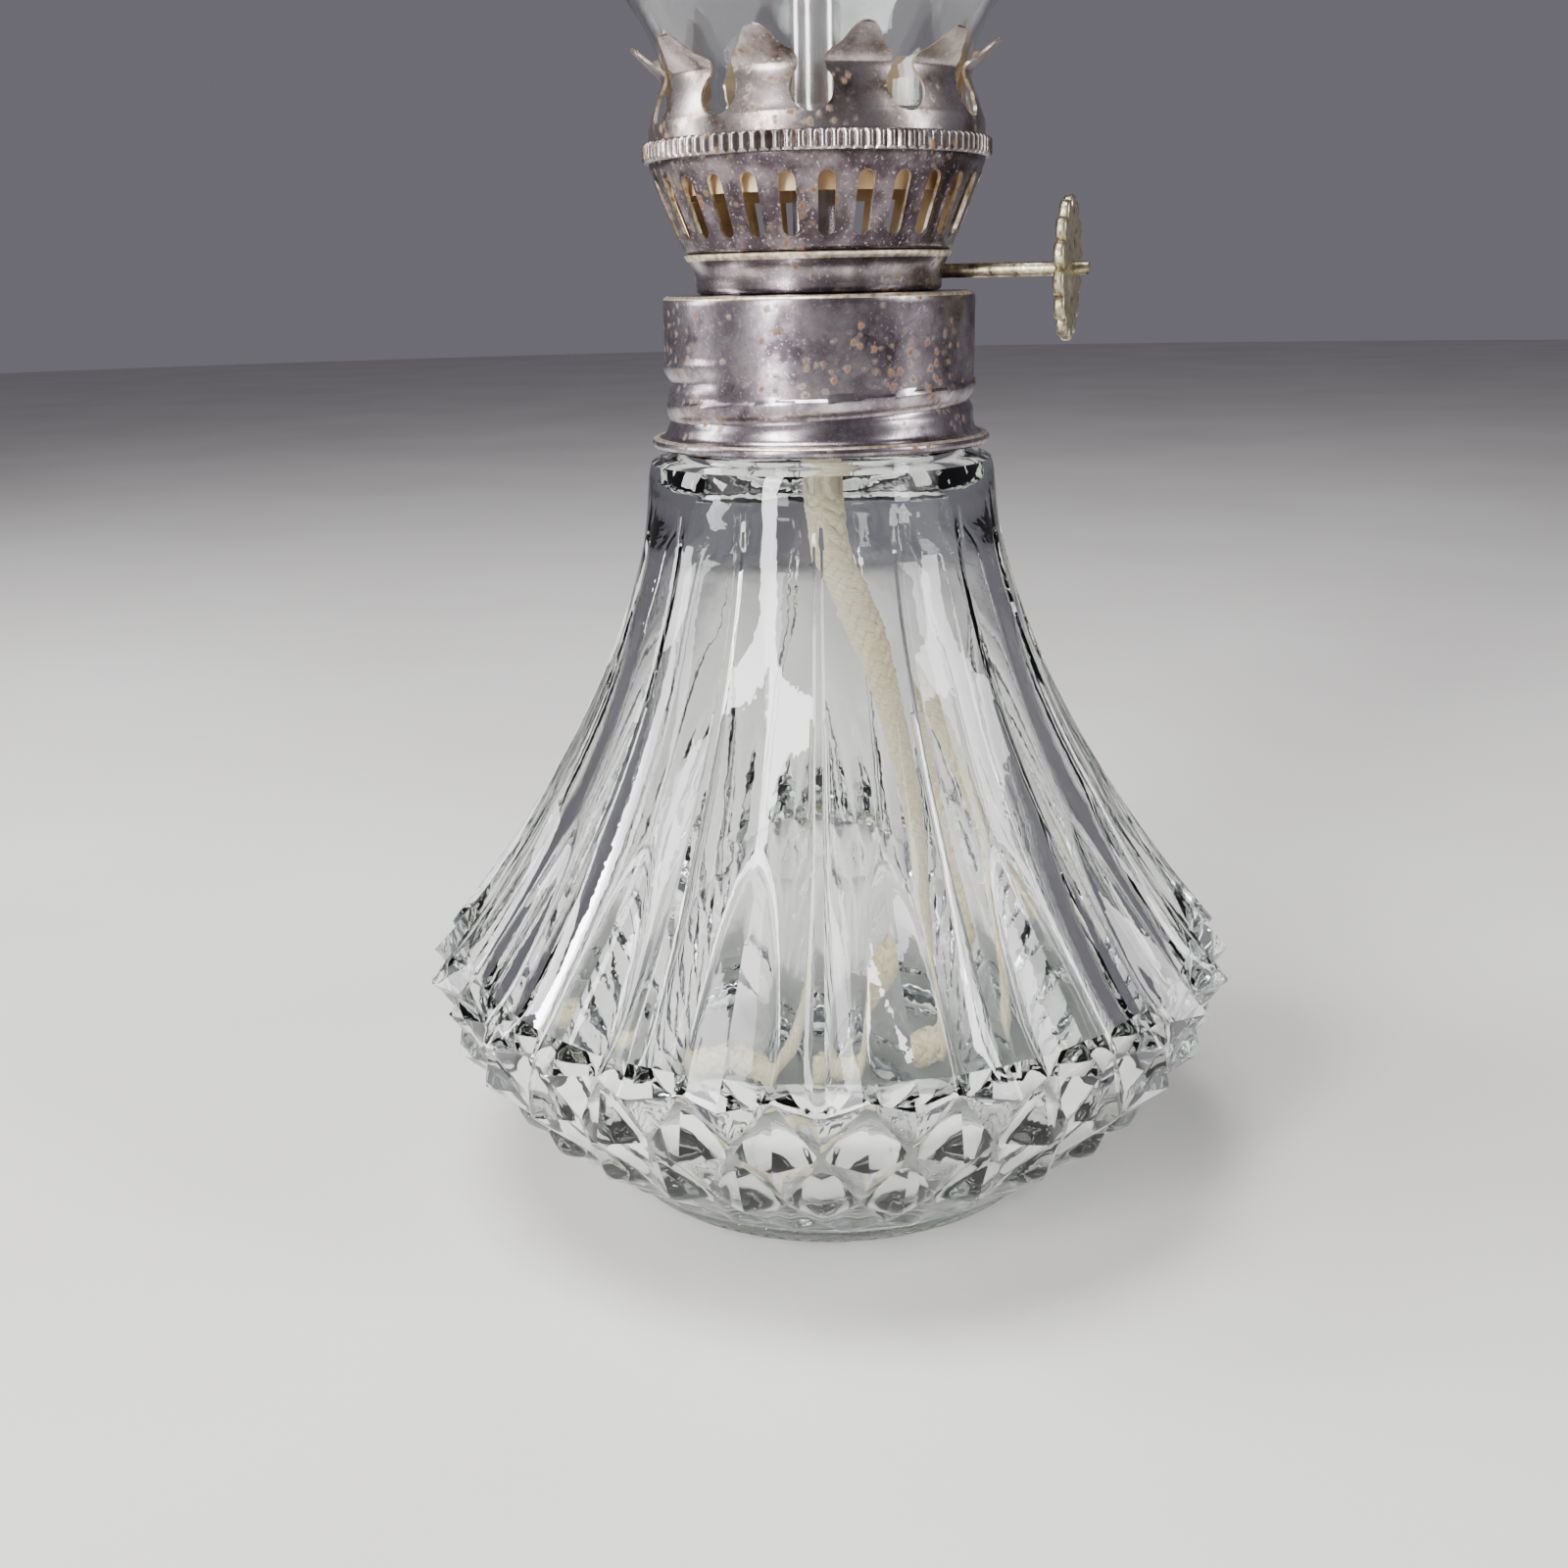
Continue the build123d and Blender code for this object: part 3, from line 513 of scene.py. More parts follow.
def facet_radius(angle, height):
    """The mould's sharp facets: every cell of the lattice is two flat triangles."""
    share = share_below(height)
    across = ((angle - LONG_RIB_ANGLE) / LATTICE_STEP) % (4 * LONG_RIBS)
    across = np.where(np.abs(across - np.round(across)) < 1e-4, np.round(across), across)
    column = np.floor(across).astype(int)
    f = across - column
    radius = np.zeros_like(share)
    for row in range(len(LATTICE_ROWS) - 1):
        low, high = LATTICE_ROWS[row][0], LATTICE_ROWS[row + 1][0]
        inside = (share >= low - 1e-6) & (share <= high + 1e-6)
        v = np.clip((share - low) / (high - low), 0, 1)
        a = lattice_corner(row, column)
        b = lattice_corner(row, column + 1)
        c = lattice_corner(row + 1, column + 1)
        d = lattice_corner(row + 1, column)
        rising = np.where(f > v, a + (b - a) * f + (c - b) * v, a + (d - a) * v + (c - d) * f)
        falling = np.where(f + v < 1, a + (b - a) * f + (d - a) * v,
            c + (d - c) * (1 - f) + (b - c) * (1 - v))
        radius = np.where(inside, np.where(a + c < b + d, rising, falling), radius)
    return radius


def font_outline():
    """Half section of the font, from the middle of the foot, up outside and down inside."""
    points = [(0.0, 1.0), (10.0, 1.0), (20.6, 1.0), (21.3, 0.7), (21.8, 0.15), (22.3, 0.0),
        (25.2, 0.0)]
    points += [(25.9, 0.12), (26.3, 0.4), (26.4, 0.7), (26.42, 0.95), (26.42, 1.2), (26.42, 1.45),
        (26.4, 1.7), (26.3, 2.1), (26.2, 2.5)]
    points += [(26.4, 2.75), (27.3, 2.95)]
    for (low, _), (high, _) in zip(LATTICE_ROWS, LATTICE_ROWS[1:]):
        for cut in range(CELL_CUTS):
            share = low + (high - low) * cut / CELL_CUTS
            points.append((crest_below(share), FOOT_HEIGHT + (BELLY_HEIGHT - FOOT_HEIGHT) * share))
    upper_rows = 54
    for row in range(upper_rows):
        share = 0.965 * row / (upper_rows - 1)
        points.append((crest_above(share), BELLY_HEIGHT + (SHOULDER_HEIGHT - BELLY_HEIGHT) * share))
    points += [(19.15, 83.2), (18.9, 83.9), (18.3, 84.3), (17.3, 84.5), (16.2, 84.6), (15.6, 84.9),
        (NECK_RADIUS, 85.4)]
    for step in range(1, 24):
        points.append((NECK_RADIUS, 85.4 + 13.5 * step / 23))
    points += [(15.2, 99.35), (14.7, 99.65), (14.0, RIM_HEIGHT), (13.2, RIM_HEIGHT), (12.5, 99.55),
        (12.1, 99.15)]
    points += [(NECK_BORE, 98.4), (NECK_BORE, 94.0), (NECK_BORE, 89.0), (NECK_BORE, 86.2)]
    points += [(12.2, 85.1), (12.8, 83.8), (13.7, 82.4), (14.6, 80.9), (15.25, 79.2), (15.75, 77.2)]
    for row in range(24):
        share = 0.83 - 0.83 * row / 23
        points.append((float(valley_above(share)) - GLASS_WALL,
            BELLY_HEIGHT + (SHOULDER_HEIGHT - BELLY_HEIGHT) * share))
    for share in (0.9, 0.8, 0.7, 0.6, 0.5, 0.42, 0.34, 0.27, 0.22):
        points.append((crest_below(share) - RIB_RELIEF - GLASS_WALL,
            FOOT_HEIGHT + (BELLY_HEIGHT - FOOT_HEIGHT) * share))
    points += [(27.0, 7.45), (24.0, 7.1), (20.0, CAVITY_FLOOR), (10.0, CAVITY_FLOOR),
        (0.0, CAVITY_FLOOR)]
    return points


def pressed_font():
    """Spins the font's section and presses the diamonds, the ribs and the thread into it."""
    piece = turn_outline("font_pressed_glass", font_outline(), 4 * LONG_RIBS * CELL_CUTS)
    angle, radius, height = polar(piece)
    turned_by = LONG_RIB_ANGLE % LATTICE_STEP
    angle = angle + turned_by
    outside = radius > np.where(
        height > BELLY_HEIGHT,
        valley_above(share_above(height)),
        crest_below(share_below(height)) - RIB_RELIEF) - 0.5 * GLASS_WALL
    shoulder_start = BELLY_HEIGHT + 0.966 * (SHOULDER_HEIGHT - BELLY_HEIGHT)
    ribs = outside & (height > BELLY_HEIGHT - 1e-3) & (height < shoulder_start)
    radius = np.where(ribs, ribbed_radius(angle, height), radius)
    diamonds = outside & (height >= FOOT_HEIGHT - 1e-3) & (height < BELLY_HEIGHT - 1e-3)
    radius = np.where(diamonds, diamond_radius(angle, height), radius)
    dot = np.clip(np.cos(np.radians(angle * FOOT_DOTS)), 0, 1)
    dot = dot * np.clip(1 - ((height - DOT_HEIGHT) / DOT_REACH) ** 2, 0, 1)
    foot_edge = (np.abs(height - DOT_HEIGHT) < DOT_REACH) & (radius > 26.0)
    radius = radius + np.where(foot_edge, DOT_RISE * dot, 0)
    neck = (np.abs(radius - NECK_RADIUS) < 0.02) & (height > 85.3)
    turns = (height - NECK_THREAD_START) / THREAD_PITCH
    nearest = np.abs((turns - angle / 360 + 0.5) % 1 - 0.5) * THREAD_PITCH
    started = np.clip((turns + 0.1) / 0.1, 0, 1) * np.clip((NECK_THREAD_TURNS - turns) / 0.1, 0, 1)
    profile = np.clip(1 - nearest / NECK_THREAD_RISE, 0, 1)
    radius = radius + np.where(neck, NECK_THREAD_RISE * started * profile, 0)
    set_polar(piece, angle, radius, height)
    split_facets(piece)
    smooth_shading(piece, 34)
    return piece


def split_facets(piece):
    """Splits the quads of each diamond cell along the fold between its two facets."""
    shape = bmesh.new()
    shape.from_mesh(piece.data)
    shares = [share for share, _ in LATTICE_ROWS]
    for face in list(shape.faces):
        middle = face.calc_center_median() / MM
        share = (middle.z - FOOT_HEIGHT) / (BELLY_HEIGHT - FOOT_HEIGHT)
        radius = math.hypot(middle.x, middle.y)
        if len(face.verts) != 4 or not 0 < share < 1:
            continue
        if radius < crest_below(share) - 1.5 * RIB_RELIEF:
            continue
        row = max(index for index, start in enumerate(shares[:-1]) if share > start)
        angle = math.degrees(math.atan2(middle.y, middle.x))
        across = ((angle - LONG_RIB_ANGLE) / LATTICE_STEP) % (4 * LONG_RIBS)
        column = int(across)
        rising = (column % 2 == 0) == (row % 2 == 1)
        ordered = sorted(face.verts, key=lambda vert: vert.co.z)
        low_pair = sorted(ordered[:2], key=lambda vert: turn_from(vert.co, middle))
        high_pair = sorted(ordered[2:], key=lambda vert: turn_from(vert.co, middle))
        ends = (low_pair[0], high_pair[1]) if rising else (low_pair[1], high_pair[0])
        bmesh.utils.face_split(face, *ends)
    shape.to_mesh(piece.data)
    shape.free()


def turn_from(place, middle):
    """Angle of a point about the lamp's axis, counted from a nearby one."""
    return (math.atan2(place.y, place.x) - math.atan2(middle.y, middle.x) + math.pi) % (2 * math.pi)


def arithmetic(tree, operation, *values):
    """One sum on up to three values."""
    inputs = {"i%d" % index: value for index, value in enumerate(values)}
    return add(tree, "Math", {"operation": operation}, **inputs).outputs[0]


def pressed_soda_glass():
    """Pressed soda-lime glass: clear, faintly green, with a mould's light orange peel."""
    material, tree, output = new_material("pressed_soda_lime_glass")
    place = add(tree, "TexCoord").outputs["Object"]
    peel = noise(tree, place, 520.0, 2.0, 0.5)
    swirl = noise(tree, place, 60.0, 2.0)
    height = arithmetic(tree, "MULTIPLY_ADD", swirl, 2.0, peel)
    bump = relief(tree, height, 0.11, 0.0002)
    shader = surface(tree, output, Base_Color=linear("#fdfffe"), Roughness=0.01, IOR=1.5,
        Normal=bump)
    shader.inputs["Transmission Weight"].default_value = 1.0
    depth = add(tree, "VolumeAbsorption", Color=linear("#cfe9db"), Density=8.0)
    tree.links.new(depth.outputs[0], output.inputs["Volume"])
    return material


font = pressed_font()
font_glass = pressed_soda_glass()
font.data.materials.append(font_glass)
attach(font, "font")
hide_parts("font_glass")


# ---------------------------------------------------------------- gasket
# A flat ring punched from cork and rubber sheet, laid on the rim of the glass neck.  The cap
# squeezes it as it is screwed down, so that oil doesn't weep past the thread.

def dress(node, material):
    """Gives a carried-over piece of the frame its own material."""
    node.data.materials.clear()
    node.data.materials.append(material)


def cork_rubber():
    """Cork crumbs in brown rubber: 0.8 mm crumbs of many browns, pitted between."""
    material, tree, output = new_material("cork_rubber_sheet")
    place = add(tree, "TexCoord").outputs["Object"]
    crumb = add(tree, "TexVoronoi", Vector=place, Scale=1250.0, Randomness=1.0)
    tone = add(tree, "SeparateColor", i0=crumb.outputs["Color"])
    colour = ramp(tree, tone.outputs[0],
        ((0.0, "#3a2719"), (0.45, "#5d4129"), (0.75, "#7d5b3a"), (1.0, "#94714a")))
    bump = relief(tree, crumb.outputs["Distance"], 0.4, 0.00015)
    surface(tree, output, Base_Color=colour, Roughness=0.85, Normal=bump)
    return material


dress(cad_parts["cap_gasket"], cork_rubber())


# ---------------------------------------------------------------- screw cap
# The cap is drawn and rolled from thin steel, tin-plated and long since dulled.  One thread is
# rolled into its wall, and its mouth is curled into a bead over the shoulder of the glass.

CAP_RADIUS = 17.0
CAP_TOP = 101.6
CAP_HOLE = 8.1
ROLLED_THREAD_START = 88.0
ROLLED_THREAD_ANGLE = 180.0
ROLLED_THREAD_TURNS = 1.2
ROLLED_GROOVE = 0.52
ROLLED_RIDGE = 0.26
BEAD_RADIUS = 0.6
BEAD_MIDDLE = (18.08, 86.12)


def thread_distance(angle, height, start, start_angle, turns):
    """Distance in mm above the nearest turn of a thread, and how far it has run in there."""
    climbed = height - start - THREAD_PITCH * (((angle - start_angle) / 360) % 1)
    turn = np.clip(np.round(climbed / THREAD_PITCH), 0, 9)
    run = turn + ((angle - start_angle) / 360) % 1
    fade = np.clip(run / 0.12, 0, 1) * np.clip((turns - run) / 0.12, 0, 1)
    return climbed - turn * THREAD_PITCH, fade


def rolled_cap():
    """Spins the cap's section, then rolls the thread's ridge and its two grooves into the wall."""
    outline = [(CAP_HOLE, 101.1), (CAP_HOLE, 101.45), (8.25, CAP_TOP), (10.0, CAP_TOP),
        (13.0, CAP_TOP), (16.2, CAP_TOP)]
    outline += [(16.52, 101.56), (16.78, 101.42), (16.94, 101.18), (CAP_RADIUS, 100.9)]
    for step in range(1, 44):
        outline.append((CAP_RADIUS - 0.12 * step / 43, 100.9 - 12.4 * step / 43))
    outline += [(16.9, 88.1), (16.95, 87.7), (17.06, 87.3), (17.26, 86.98), (17.5, 86.78),
        (17.72, 86.7)]
    for step in range(12):
        turn = math.radians(112 - 25 * step)
        outline.append((BEAD_MIDDLE[0] + BEAD_RADIUS * math.cos(turn),
            BEAD_MIDDLE[1] + BEAD_RADIUS * math.sin(turn)))
    outline += [(17.3, 86.1), (16.9, 86.6), (16.6, 87.3), (16.4, 88.2)]
    for step in range(1, 40):
        outline.append((16.4 + 0.1 * step / 39, 88.2 + 12.3 * step / 39))
    outline += [(16.4, 100.9), (16.1, 101.1), (CAP_HOLE, 101.1)]
    piece = turn_outline("screw_cap_rolled", outline, 180)
    angle, radius, height = polar(piece)
    above, fade = thread_distance(angle, height, ROLLED_THREAD_START, ROLLED_THREAD_ANGLE,
        ROLLED_THREAD_TURNS)
    groove = -ROLLED_GROOVE * np.exp(-(above / 0.62) ** 2)
    ridge = ROLLED_RIDGE * np.exp(-((above - 1.8) / 0.85) ** 2)
    upper_groove = -ROLLED_RIDGE * np.exp(-((above - 3.55) / 0.55) ** 2)
    wall = (radius > 16.2) & (radius < 17.15) & (height > 87.3) & (height < 100.6)
    near = np.clip((height - 87.3) / 0.9, 0, 1)
    radius = radius + np.where(wall, near * fade * (groove + ridge + upper_groove), 0)
    set_polar(piece, angle, radius, height)
    smooth_shading(piece, 40)
    return piece


def spread(tree, value, low, high, low_result=0.0, high_result=1.0):
    """Carries the part of a value between low and high over to two results."""
    return add(tree, "MapRange", Value=value, i1=low, i2=high, i3=low_result,
        i4=high_result).outputs[0]


def blend(tree, factor, below, above):
    """One colour over another."""
    return add(tree, "Mix", {"data_type": "RGBA"}, Factor=factor, i6=below, i7=above).outputs[2]


def dulled_tin_plate(name, light, dark, pale, rust):
    """Old tin plate: cloudy grey-violet tarnish, pale pinpricks and haloed rust spots."""
    material, tree, output = new_material(name)
    place = add(tree, "TexCoord").outputs["Object"]
    cloud = noise(tree, place, 210.0, 6.0, 0.62)
    tarnish = ramp(tree, cloud, ((0.34, dark), (0.50, light), (0.68, pale)))
    speck = noise(tree, place, 3000.0, 2.0)
    fleck = spread(tree, speck, 0.60, 0.75, 0.0, 0.55)
    bright = blend(tree, fleck, tarnish, linear("#d6d0cf"))
    ragged = add(tree, "TexNoise", Vector=place, Scale=1500.0, Detail=3.0)
    shifted = add(tree, "VectorMath", {"operation": "SCALE"}, i0=ragged.outputs["Color"],
        Scale=0.0007)
    uneven = add(tree, "VectorMath", {"operation": "ADD"}, i0=place, i1=shifted.outputs[0])
    spots = add(tree, "TexVoronoi", {"feature": "F1"}, Vector=uneven.outputs[0], Scale=820.0,
        Randomness=1.0)
    where_rust = noise(tree, place, 120.0, 3.0)
    gate = spread(tree, where_rust, 0.49, 0.56)
    core = spread(tree, spots.outputs["Distance"], 0.27, 0.12)
    halo = spread(tree, spots.outputs["Distance"], 0.42, 0.20)
    core_mask = arithmetic(tree, "MULTIPLY", core, gate)
    halo_mask = arithmetic(tree, "MULTIPLY", halo, gate)
    dulled = blend(tree, halo_mask, bright, linear("#857767"))
    rusty = blend(tree, core_mask, dulled, linear(rust))
    metal = arithmetic(tree, "SUBTRACT", 1.0, core_mask)
    worn = spread(tree, cloud, 0.3, 0.7, 0.36, 0.20)
    rough = arithmetic(tree, "MULTIPLY_ADD", halo_mask, 0.35, worn)
    height = arithmetic(tree, "MULTIPLY_ADD", core_mask, 1.5, cloud)
    bump = relief(tree, height, 0.30, 0.00012)
    surface(tree, output, Base_Color=rusty, Metallic=metal, Roughness=rough, Normal=bump)
    return material


def worn_edge_and_painted_highlight():
    """Tin plate rubbed bright on cut edges, and a painted highlight on rounded edges that face the
    lamps: pale and warm, with rust where the plate has gone.
    """
    material, tree, output = new_material("worn_and_painted_highlight_tin_plate")
    place = add(tree, "TexCoord").outputs["Object"]
    ragged = noise(tree, place, 1400.0, 3.0)
    colour = ramp(tree, ragged, ((0.35, "#b39a78"), (0.55, "#e3d6c0"), (0.75, "#f3ece0")))
    bump = relief(tree, ragged, 0.2, 0.00005)
    surface(tree, output, Base_Color=colour, Metallic=0.85, Roughness=0.32, Normal=bump)
    return material


edge_wear_and_highlight = worn_edge_and_painted_highlight()
screw_cap = rolled_cap()
screw_cap.data.materials.append(dulled_tin_plate("dulled_tin_plate_cap", "#857c82", "#463d44",
    "#cbc3c6", "#824a1e"))
screw_cap.data.materials.append(edge_wear_and_highlight)
# Painted highlight: the rounded top corner of the plate and the crest of the bead take the pale
# worn-edge material.
for face in screw_cap.data.polygons:
    reach = math.hypot(face.center.x, face.center.y) / MM
    plate_corner = face.center.z > 101.3 * MM and reach > 16.6
    bead_crest = 86.5 < face.center.z / MM < 86.9 and 17.8 < reach < 18.5
    face.material_index = 1 if plate_corner or bead_crest else 0
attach(screw_cap, "burner")
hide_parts("screw_collar")


# ---------------------------------------------------------------- burner cup
# A cup drawn from the same plated sheet: a short neck band that flares into a soft lip under
# the basket, over a narrow sump that hangs through the cap and carries the wick tube.

CUP_RADIUS = 13.35
CUP_TOP = 105.7
SHEET = 0.4
SPINDLE_SIDE = 5.0
SPINDLE_HEIGHT = 103.6
SPINDLE_RADIUS = 0.75


def sheet_outline(points, wall):
    """Closed section of a bent sheet: the points are one side, and the wall lies to their left."""
    normals = []
    for (r0, z0), (r1, z1) in zip(points, points[1:]):
        run = math.hypot(r1 - r0, z1 - z0)
        normals.append(((z0 - z1) / run, (r1 - r0) / run))
    other = []
    for index, (r, z) in enumerate(points):
        a, b = normals[max(index - 1, 0)], normals[min(index, len(normals) - 1)]
        reach = wall / (1 + a[0] * b[0] + a[1] * b[1])
        other.append((r + (a[0] + b[0]) * reach, z + (a[1] + b[1]) * reach))
    return list(points) + other[::-1] + [points[0]]


def cut_away(piece, cutter):
    """Cuts one piece's shape out of another and clears the cutter away."""
    only(piece)
    cut = piece.modifiers.new("cut", "BOOLEAN")
    cut.operation = "DIFFERENCE"
    cut.solver = "EXACT"
    cut.object = cutter
    bpy.ops.object.modifier_apply(modifier=cut.name)
    bpy.data.objects.remove(cutter)


def drawn_cup():
    """Spins the sheet's section with its rounded draws and punches the spindle's hole."""
    side = [(2.7, 98.8), (5.0, 98.8), (7.4, 98.8), (7.75, 98.88), (7.95, 99.1), (8.0, 99.4),
        (8.0, 101.0)]
    side += [(8.02, 101.55), (8.3, 101.62), (10.6, 101.62), (12.7, 101.62), (13.1, 101.72),
        (13.3, 101.95)]
    side += [(CUP_RADIUS, 102.3), (CUP_RADIUS, 102.8), (13.37, 103.3), (13.43, 103.75),
        (13.54, 104.15), (13.7, 104.5)]
    side += [(13.9, 104.8), (14.12, 105.08), (14.32, 105.32), (14.44, 105.5), (14.5, 105.68)]
    piece = turn_outline("burner_cup_drawn", sheet_outline(side, 0.38), 160)
    bpy.ops.object.select_all(action="DESELECT")
    bpy.ops.mesh.primitive_cylinder_add(vertices=28, radius=(SPINDLE_RADIUS + 0.12) * MM,
        depth=6 * MM,
                                        location=(13 * MM, SPINDLE_SIDE * MM, SPINDLE_HEIGHT * MM),
                                        rotation=(0, math.radians(90), 0))
    cut_away(piece, bpy.context.object)
    smooth_shading(piece, 40)
    return piece


# The basket and the wheel bracket take a darker copy of the cap's tin plate: its tarnish and rust
# are the plate's own, and the extra darkness is painted shade.
shaded_burner_plate = dulled_tin_plate("dulled_tin_plate_basket_painted_shade", "#50464b", "#2e272c", "#857a7e",
    "#6b4220")
burner_cup = drawn_cup()
burner_cup.data.materials.append(dulled_tin_plate("dulled_tin_plate_cup", "#7d7477", "#4a4045",
    "#b5acac", "#75461f"))
burner_cup.data.materials.append(edge_wear_and_highlight)
# Painted highlight: the top of the flared lip takes the pale worn-edge material.
for face in burner_cup.data.polygons:
    face.material_index = 1 if face.center.z > 105.15 * MM else 0
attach(burner_cup, "burner")
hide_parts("burner_cup")


# ---------------------------------------------------------------- tube flange
# A small brass washer, turned from bar and soldered where the wick tube passes the sump's
# floor.  Nobody polishes it, so it has browned.

def browned_brass(name, light, dark, roughness):
    """Turned brass left to brown: warm yellow, olive-brown in patches, with fine turning lines."""
    material, tree, output = new_material(name)
    place = add(tree, "TexCoord").outputs["Object"]
    patch = noise(tree, place, 420.0, 4.0)
    colour = ramp(tree, patch, ((0.35, dark), (0.62, light)))
    lines = noise(tree, place, 3800.0, 1.0)
    bump = relief(tree, lines, 0.15, 0.00003)
    surface(tree, output, Base_Color=colour, Metallic=1.0, Roughness=roughness, Normal=bump)
    return material


dress(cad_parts["tube_flange"],
    browned_brass("browned_turned_brass", "#a88a4e", "#5e4a2a", 0.38))


# ---------------------------------------------------------------- wick tube
# A long seamed tube, rolled from bright plated strip, that holds the wick up in the chimney.
# A window in its side lets the toothed wheel reach the wick.

TUBE_BORE = 2.4
TUBE_RADIUS = 2.68
TUBE_BOTTOM = 86.0
TUBE_TOP = 138.0
SEAM_ANGLE = 25
SEAM_DEPTH = 0.07


def seamed_tube():
    """Spins the tube with its folded top rim, presses its butt seam in and cuts its window."""
    outline = [(TUBE_BORE, TUBE_BOTTOM), (TUBE_RADIUS, TUBE_BOTTOM)]
    for step in range(1, 40):
        outline.append((TUBE_RADIUS, TUBE_BOTTOM + 51.2 * step / 39))
    outline += [(2.6, 137.35), (2.62, 137.5), (TUBE_RADIUS, 137.7), (2.64, 137.9), (2.55, TUBE_TOP),
        (2.46, 137.95)]
    outline += [(TUBE_BORE, 137.8), (TUBE_BORE, 112.0), (TUBE_BORE, TUBE_BOTTOM)]
    piece = turn_outline("wick_tube_seamed", outline, 72)
    angle, radius, height = polar(piece)
    seam = np.exp(-((angle - SEAM_ANGLE) / 5.0) ** 2)
    radius = radius - np.where(radius > 2.55, SEAM_DEPTH * seam, 0)
    set_polar(piece, angle, radius, height)
    bpy.ops.object.select_all(action="DESELECT")
    bpy.ops.mesh.primitive_cube_add(size=1, location=(0, 2.6 * MM, SPINDLE_HEIGHT * MM))
    window = bpy.context.object
    window.scale = (2.2 * MM, 2.6 * MM, 4.1 * MM)
    bpy.ops.object.transform_apply(location=True, rotation=True, scale=True)
    cut_away(piece, window)
    smooth_shading(piece, 40)
    return piece


def bright_plated_tube():
    """Nickel plate on a drawn tube: bright, faintly streaked along it, stained brown."""
    material, tree, output = new_material("bright_nickel_plated_tube")
    place = add(tree, "TexCoord").outputs["Object"]
    drawn = add(tree, "Mapping", Vector=place)
    drawn.inputs["Scale"].default_value = (1.0, 1.0, 0.06)
    streak = noise(tree, drawn.outputs[0], 2400.0, 3.0)
    stain = noise(tree, place, 160.0, 5.0)
    colour = ramp(tree, stain, ((0.32, "#a2948e"), (0.46, "#cfc9cc"), (0.7, "#e0dcde")))
    rough = spread(tree, streak, 0.3, 0.7, 0.20, 0.27)
    bump = relief(tree, streak, 0.03, 0.00004)
    surface(tree, output, Base_Color=colour, Metallic=1.0, Roughness=rough, Normal=bump)
    return material


wick_tube = seamed_tube()
wick_tube.data.materials.append(bright_plated_tube())
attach(wick_tube, "burner")
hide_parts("wick_tube")


# ---------------------------------------------------------------- wheel bracket
# A little strap of plated steel, bent into a U and soldered to the sump's floor.  Its two ears
# are the spindle's inner bearings.

# Painted shade: the bracket takes the darker copy of the tin plate.
dress(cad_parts["wheel_bracket"], shaded_burner_plate)


# ---------------------------------------------------------------- spindle
# A plain drawn rod of nickel silver, yellowed and pitted.  Its outer end is peened over the
# knob like a rivet, and its inner end is faced off beyond the bracket.

SPINDLE_INNER_END = -3.0
SPINDLE_OUTER_END = 28.7
KNOB_CENTRE = 26.3
KNOB_RADIUS = 7.5


def lay_on_spindle(piece):
    """Turns a piece made about +Z so that it stands on the spindle, along +X."""
    turn = Matrix.Translation(Vector((0, SPINDLE_SIDE,
        SPINDLE_HEIGHT)) * MM) @ Matrix.Rotation(math.radians(90), 4, "Y")
    piece.data.transform(turn)
    piece.data.update()


def peened_spindle():
    """Spins the rod with its faced inner end, its step at the knob and its peened outer end."""
    r = SPINDLE_RADIUS
    outline = [(0.0, SPINDLE_INNER_END), (0.55, SPINDLE_INNER_END), (r - 0.06, -2.93), (r, -2.8)]
    for step in range(1, 30):
        outline.append((r, -2.8 + 28.3 * step / 29))
    outline += [(r, 25.68), (r, 27.1), (r, 27.4), (0.70, 28.0), (0.72, 28.35), (0.66, 28.55),
        (0.4, 28.66), (0.0, SPINDLE_OUTER_END)]
    piece = turn_outline("spindle_peened_rod", outline, 40)
    angle, radius, height = polar(piece)
    wear = 0.012 * np.sin(height * 9.0 + 2.0 * np.sin(np.radians(angle) * 3))
    radius = radius + np.where((radius > 0.5) & (height < 25.5), wear, 0)
    set_polar(piece, angle, np.maximum(radius, 0), height)
    smooth_shading(piece, 40)
    lay_on_spindle(piece)
    return piece


def pitted_nickel_silver():
    """Stamped nickel silver, never lacquered: warm yellow-grey with grimy pits."""
    material, tree, output = new_material("pitted_nickel_silver")
    place = add(tree, "TexCoord").outputs["Object"]
    grime = noise(tree, place, 700.0, 5.0, 0.7)
    colour = ramp(tree, grime, ((0.34, "#3d3630"), (0.46, "#9d937a"), (0.62, "#cfc6a8"),
        (0.8, "#e2dcc6")))
    pit = add(tree, "TexVoronoi", Vector=place, Scale=1500.0, Randomness=1.0)
    pits = spread(tree, pit.outputs["Distance"], 0.0, 0.35)
    height = arithmetic(tree, "MULTIPLY_ADD", pits, 0.5, grime)
    rough = spread(tree, grime, 0.35, 0.65, 0.55, 0.24)
    bump = relief(tree, height, 0.4, 0.0001)
    surface(tree, output, Base_Color=colour, Metallic=1.0, Roughness=rough, Normal=bump)
    return material


nickel_silver = pitted_nickel_silver()
spindle = peened_spindle()
spindle.data.materials.append(nickel_silver)
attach(spindle, "winder")
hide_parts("spindle")


# ---------------------------------------------------------------- spur wheel
# A twelve-toothed wheel cut from brass and pressed on the spindle behind the wick.  It bites
# into the cotton through the tube's window, and lint keeps its teeth bright.

dress(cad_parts["spur_wheel"], browned_brass("milled_brass_wheel", "#c3a35c", "#7d6233", 0.28))


# ---------------------------------------------------------------- wick knob
# A thin disc stamped from nickel silver, with a petal-like edge to grip and a raised ring
# round its middle.  It is riveted on the end of the spindle.

KNOB_PETALS = 14
KNOB_HALF = 0.6
PETAL_DEPTH = 1.25
PETAL_START = 3.6


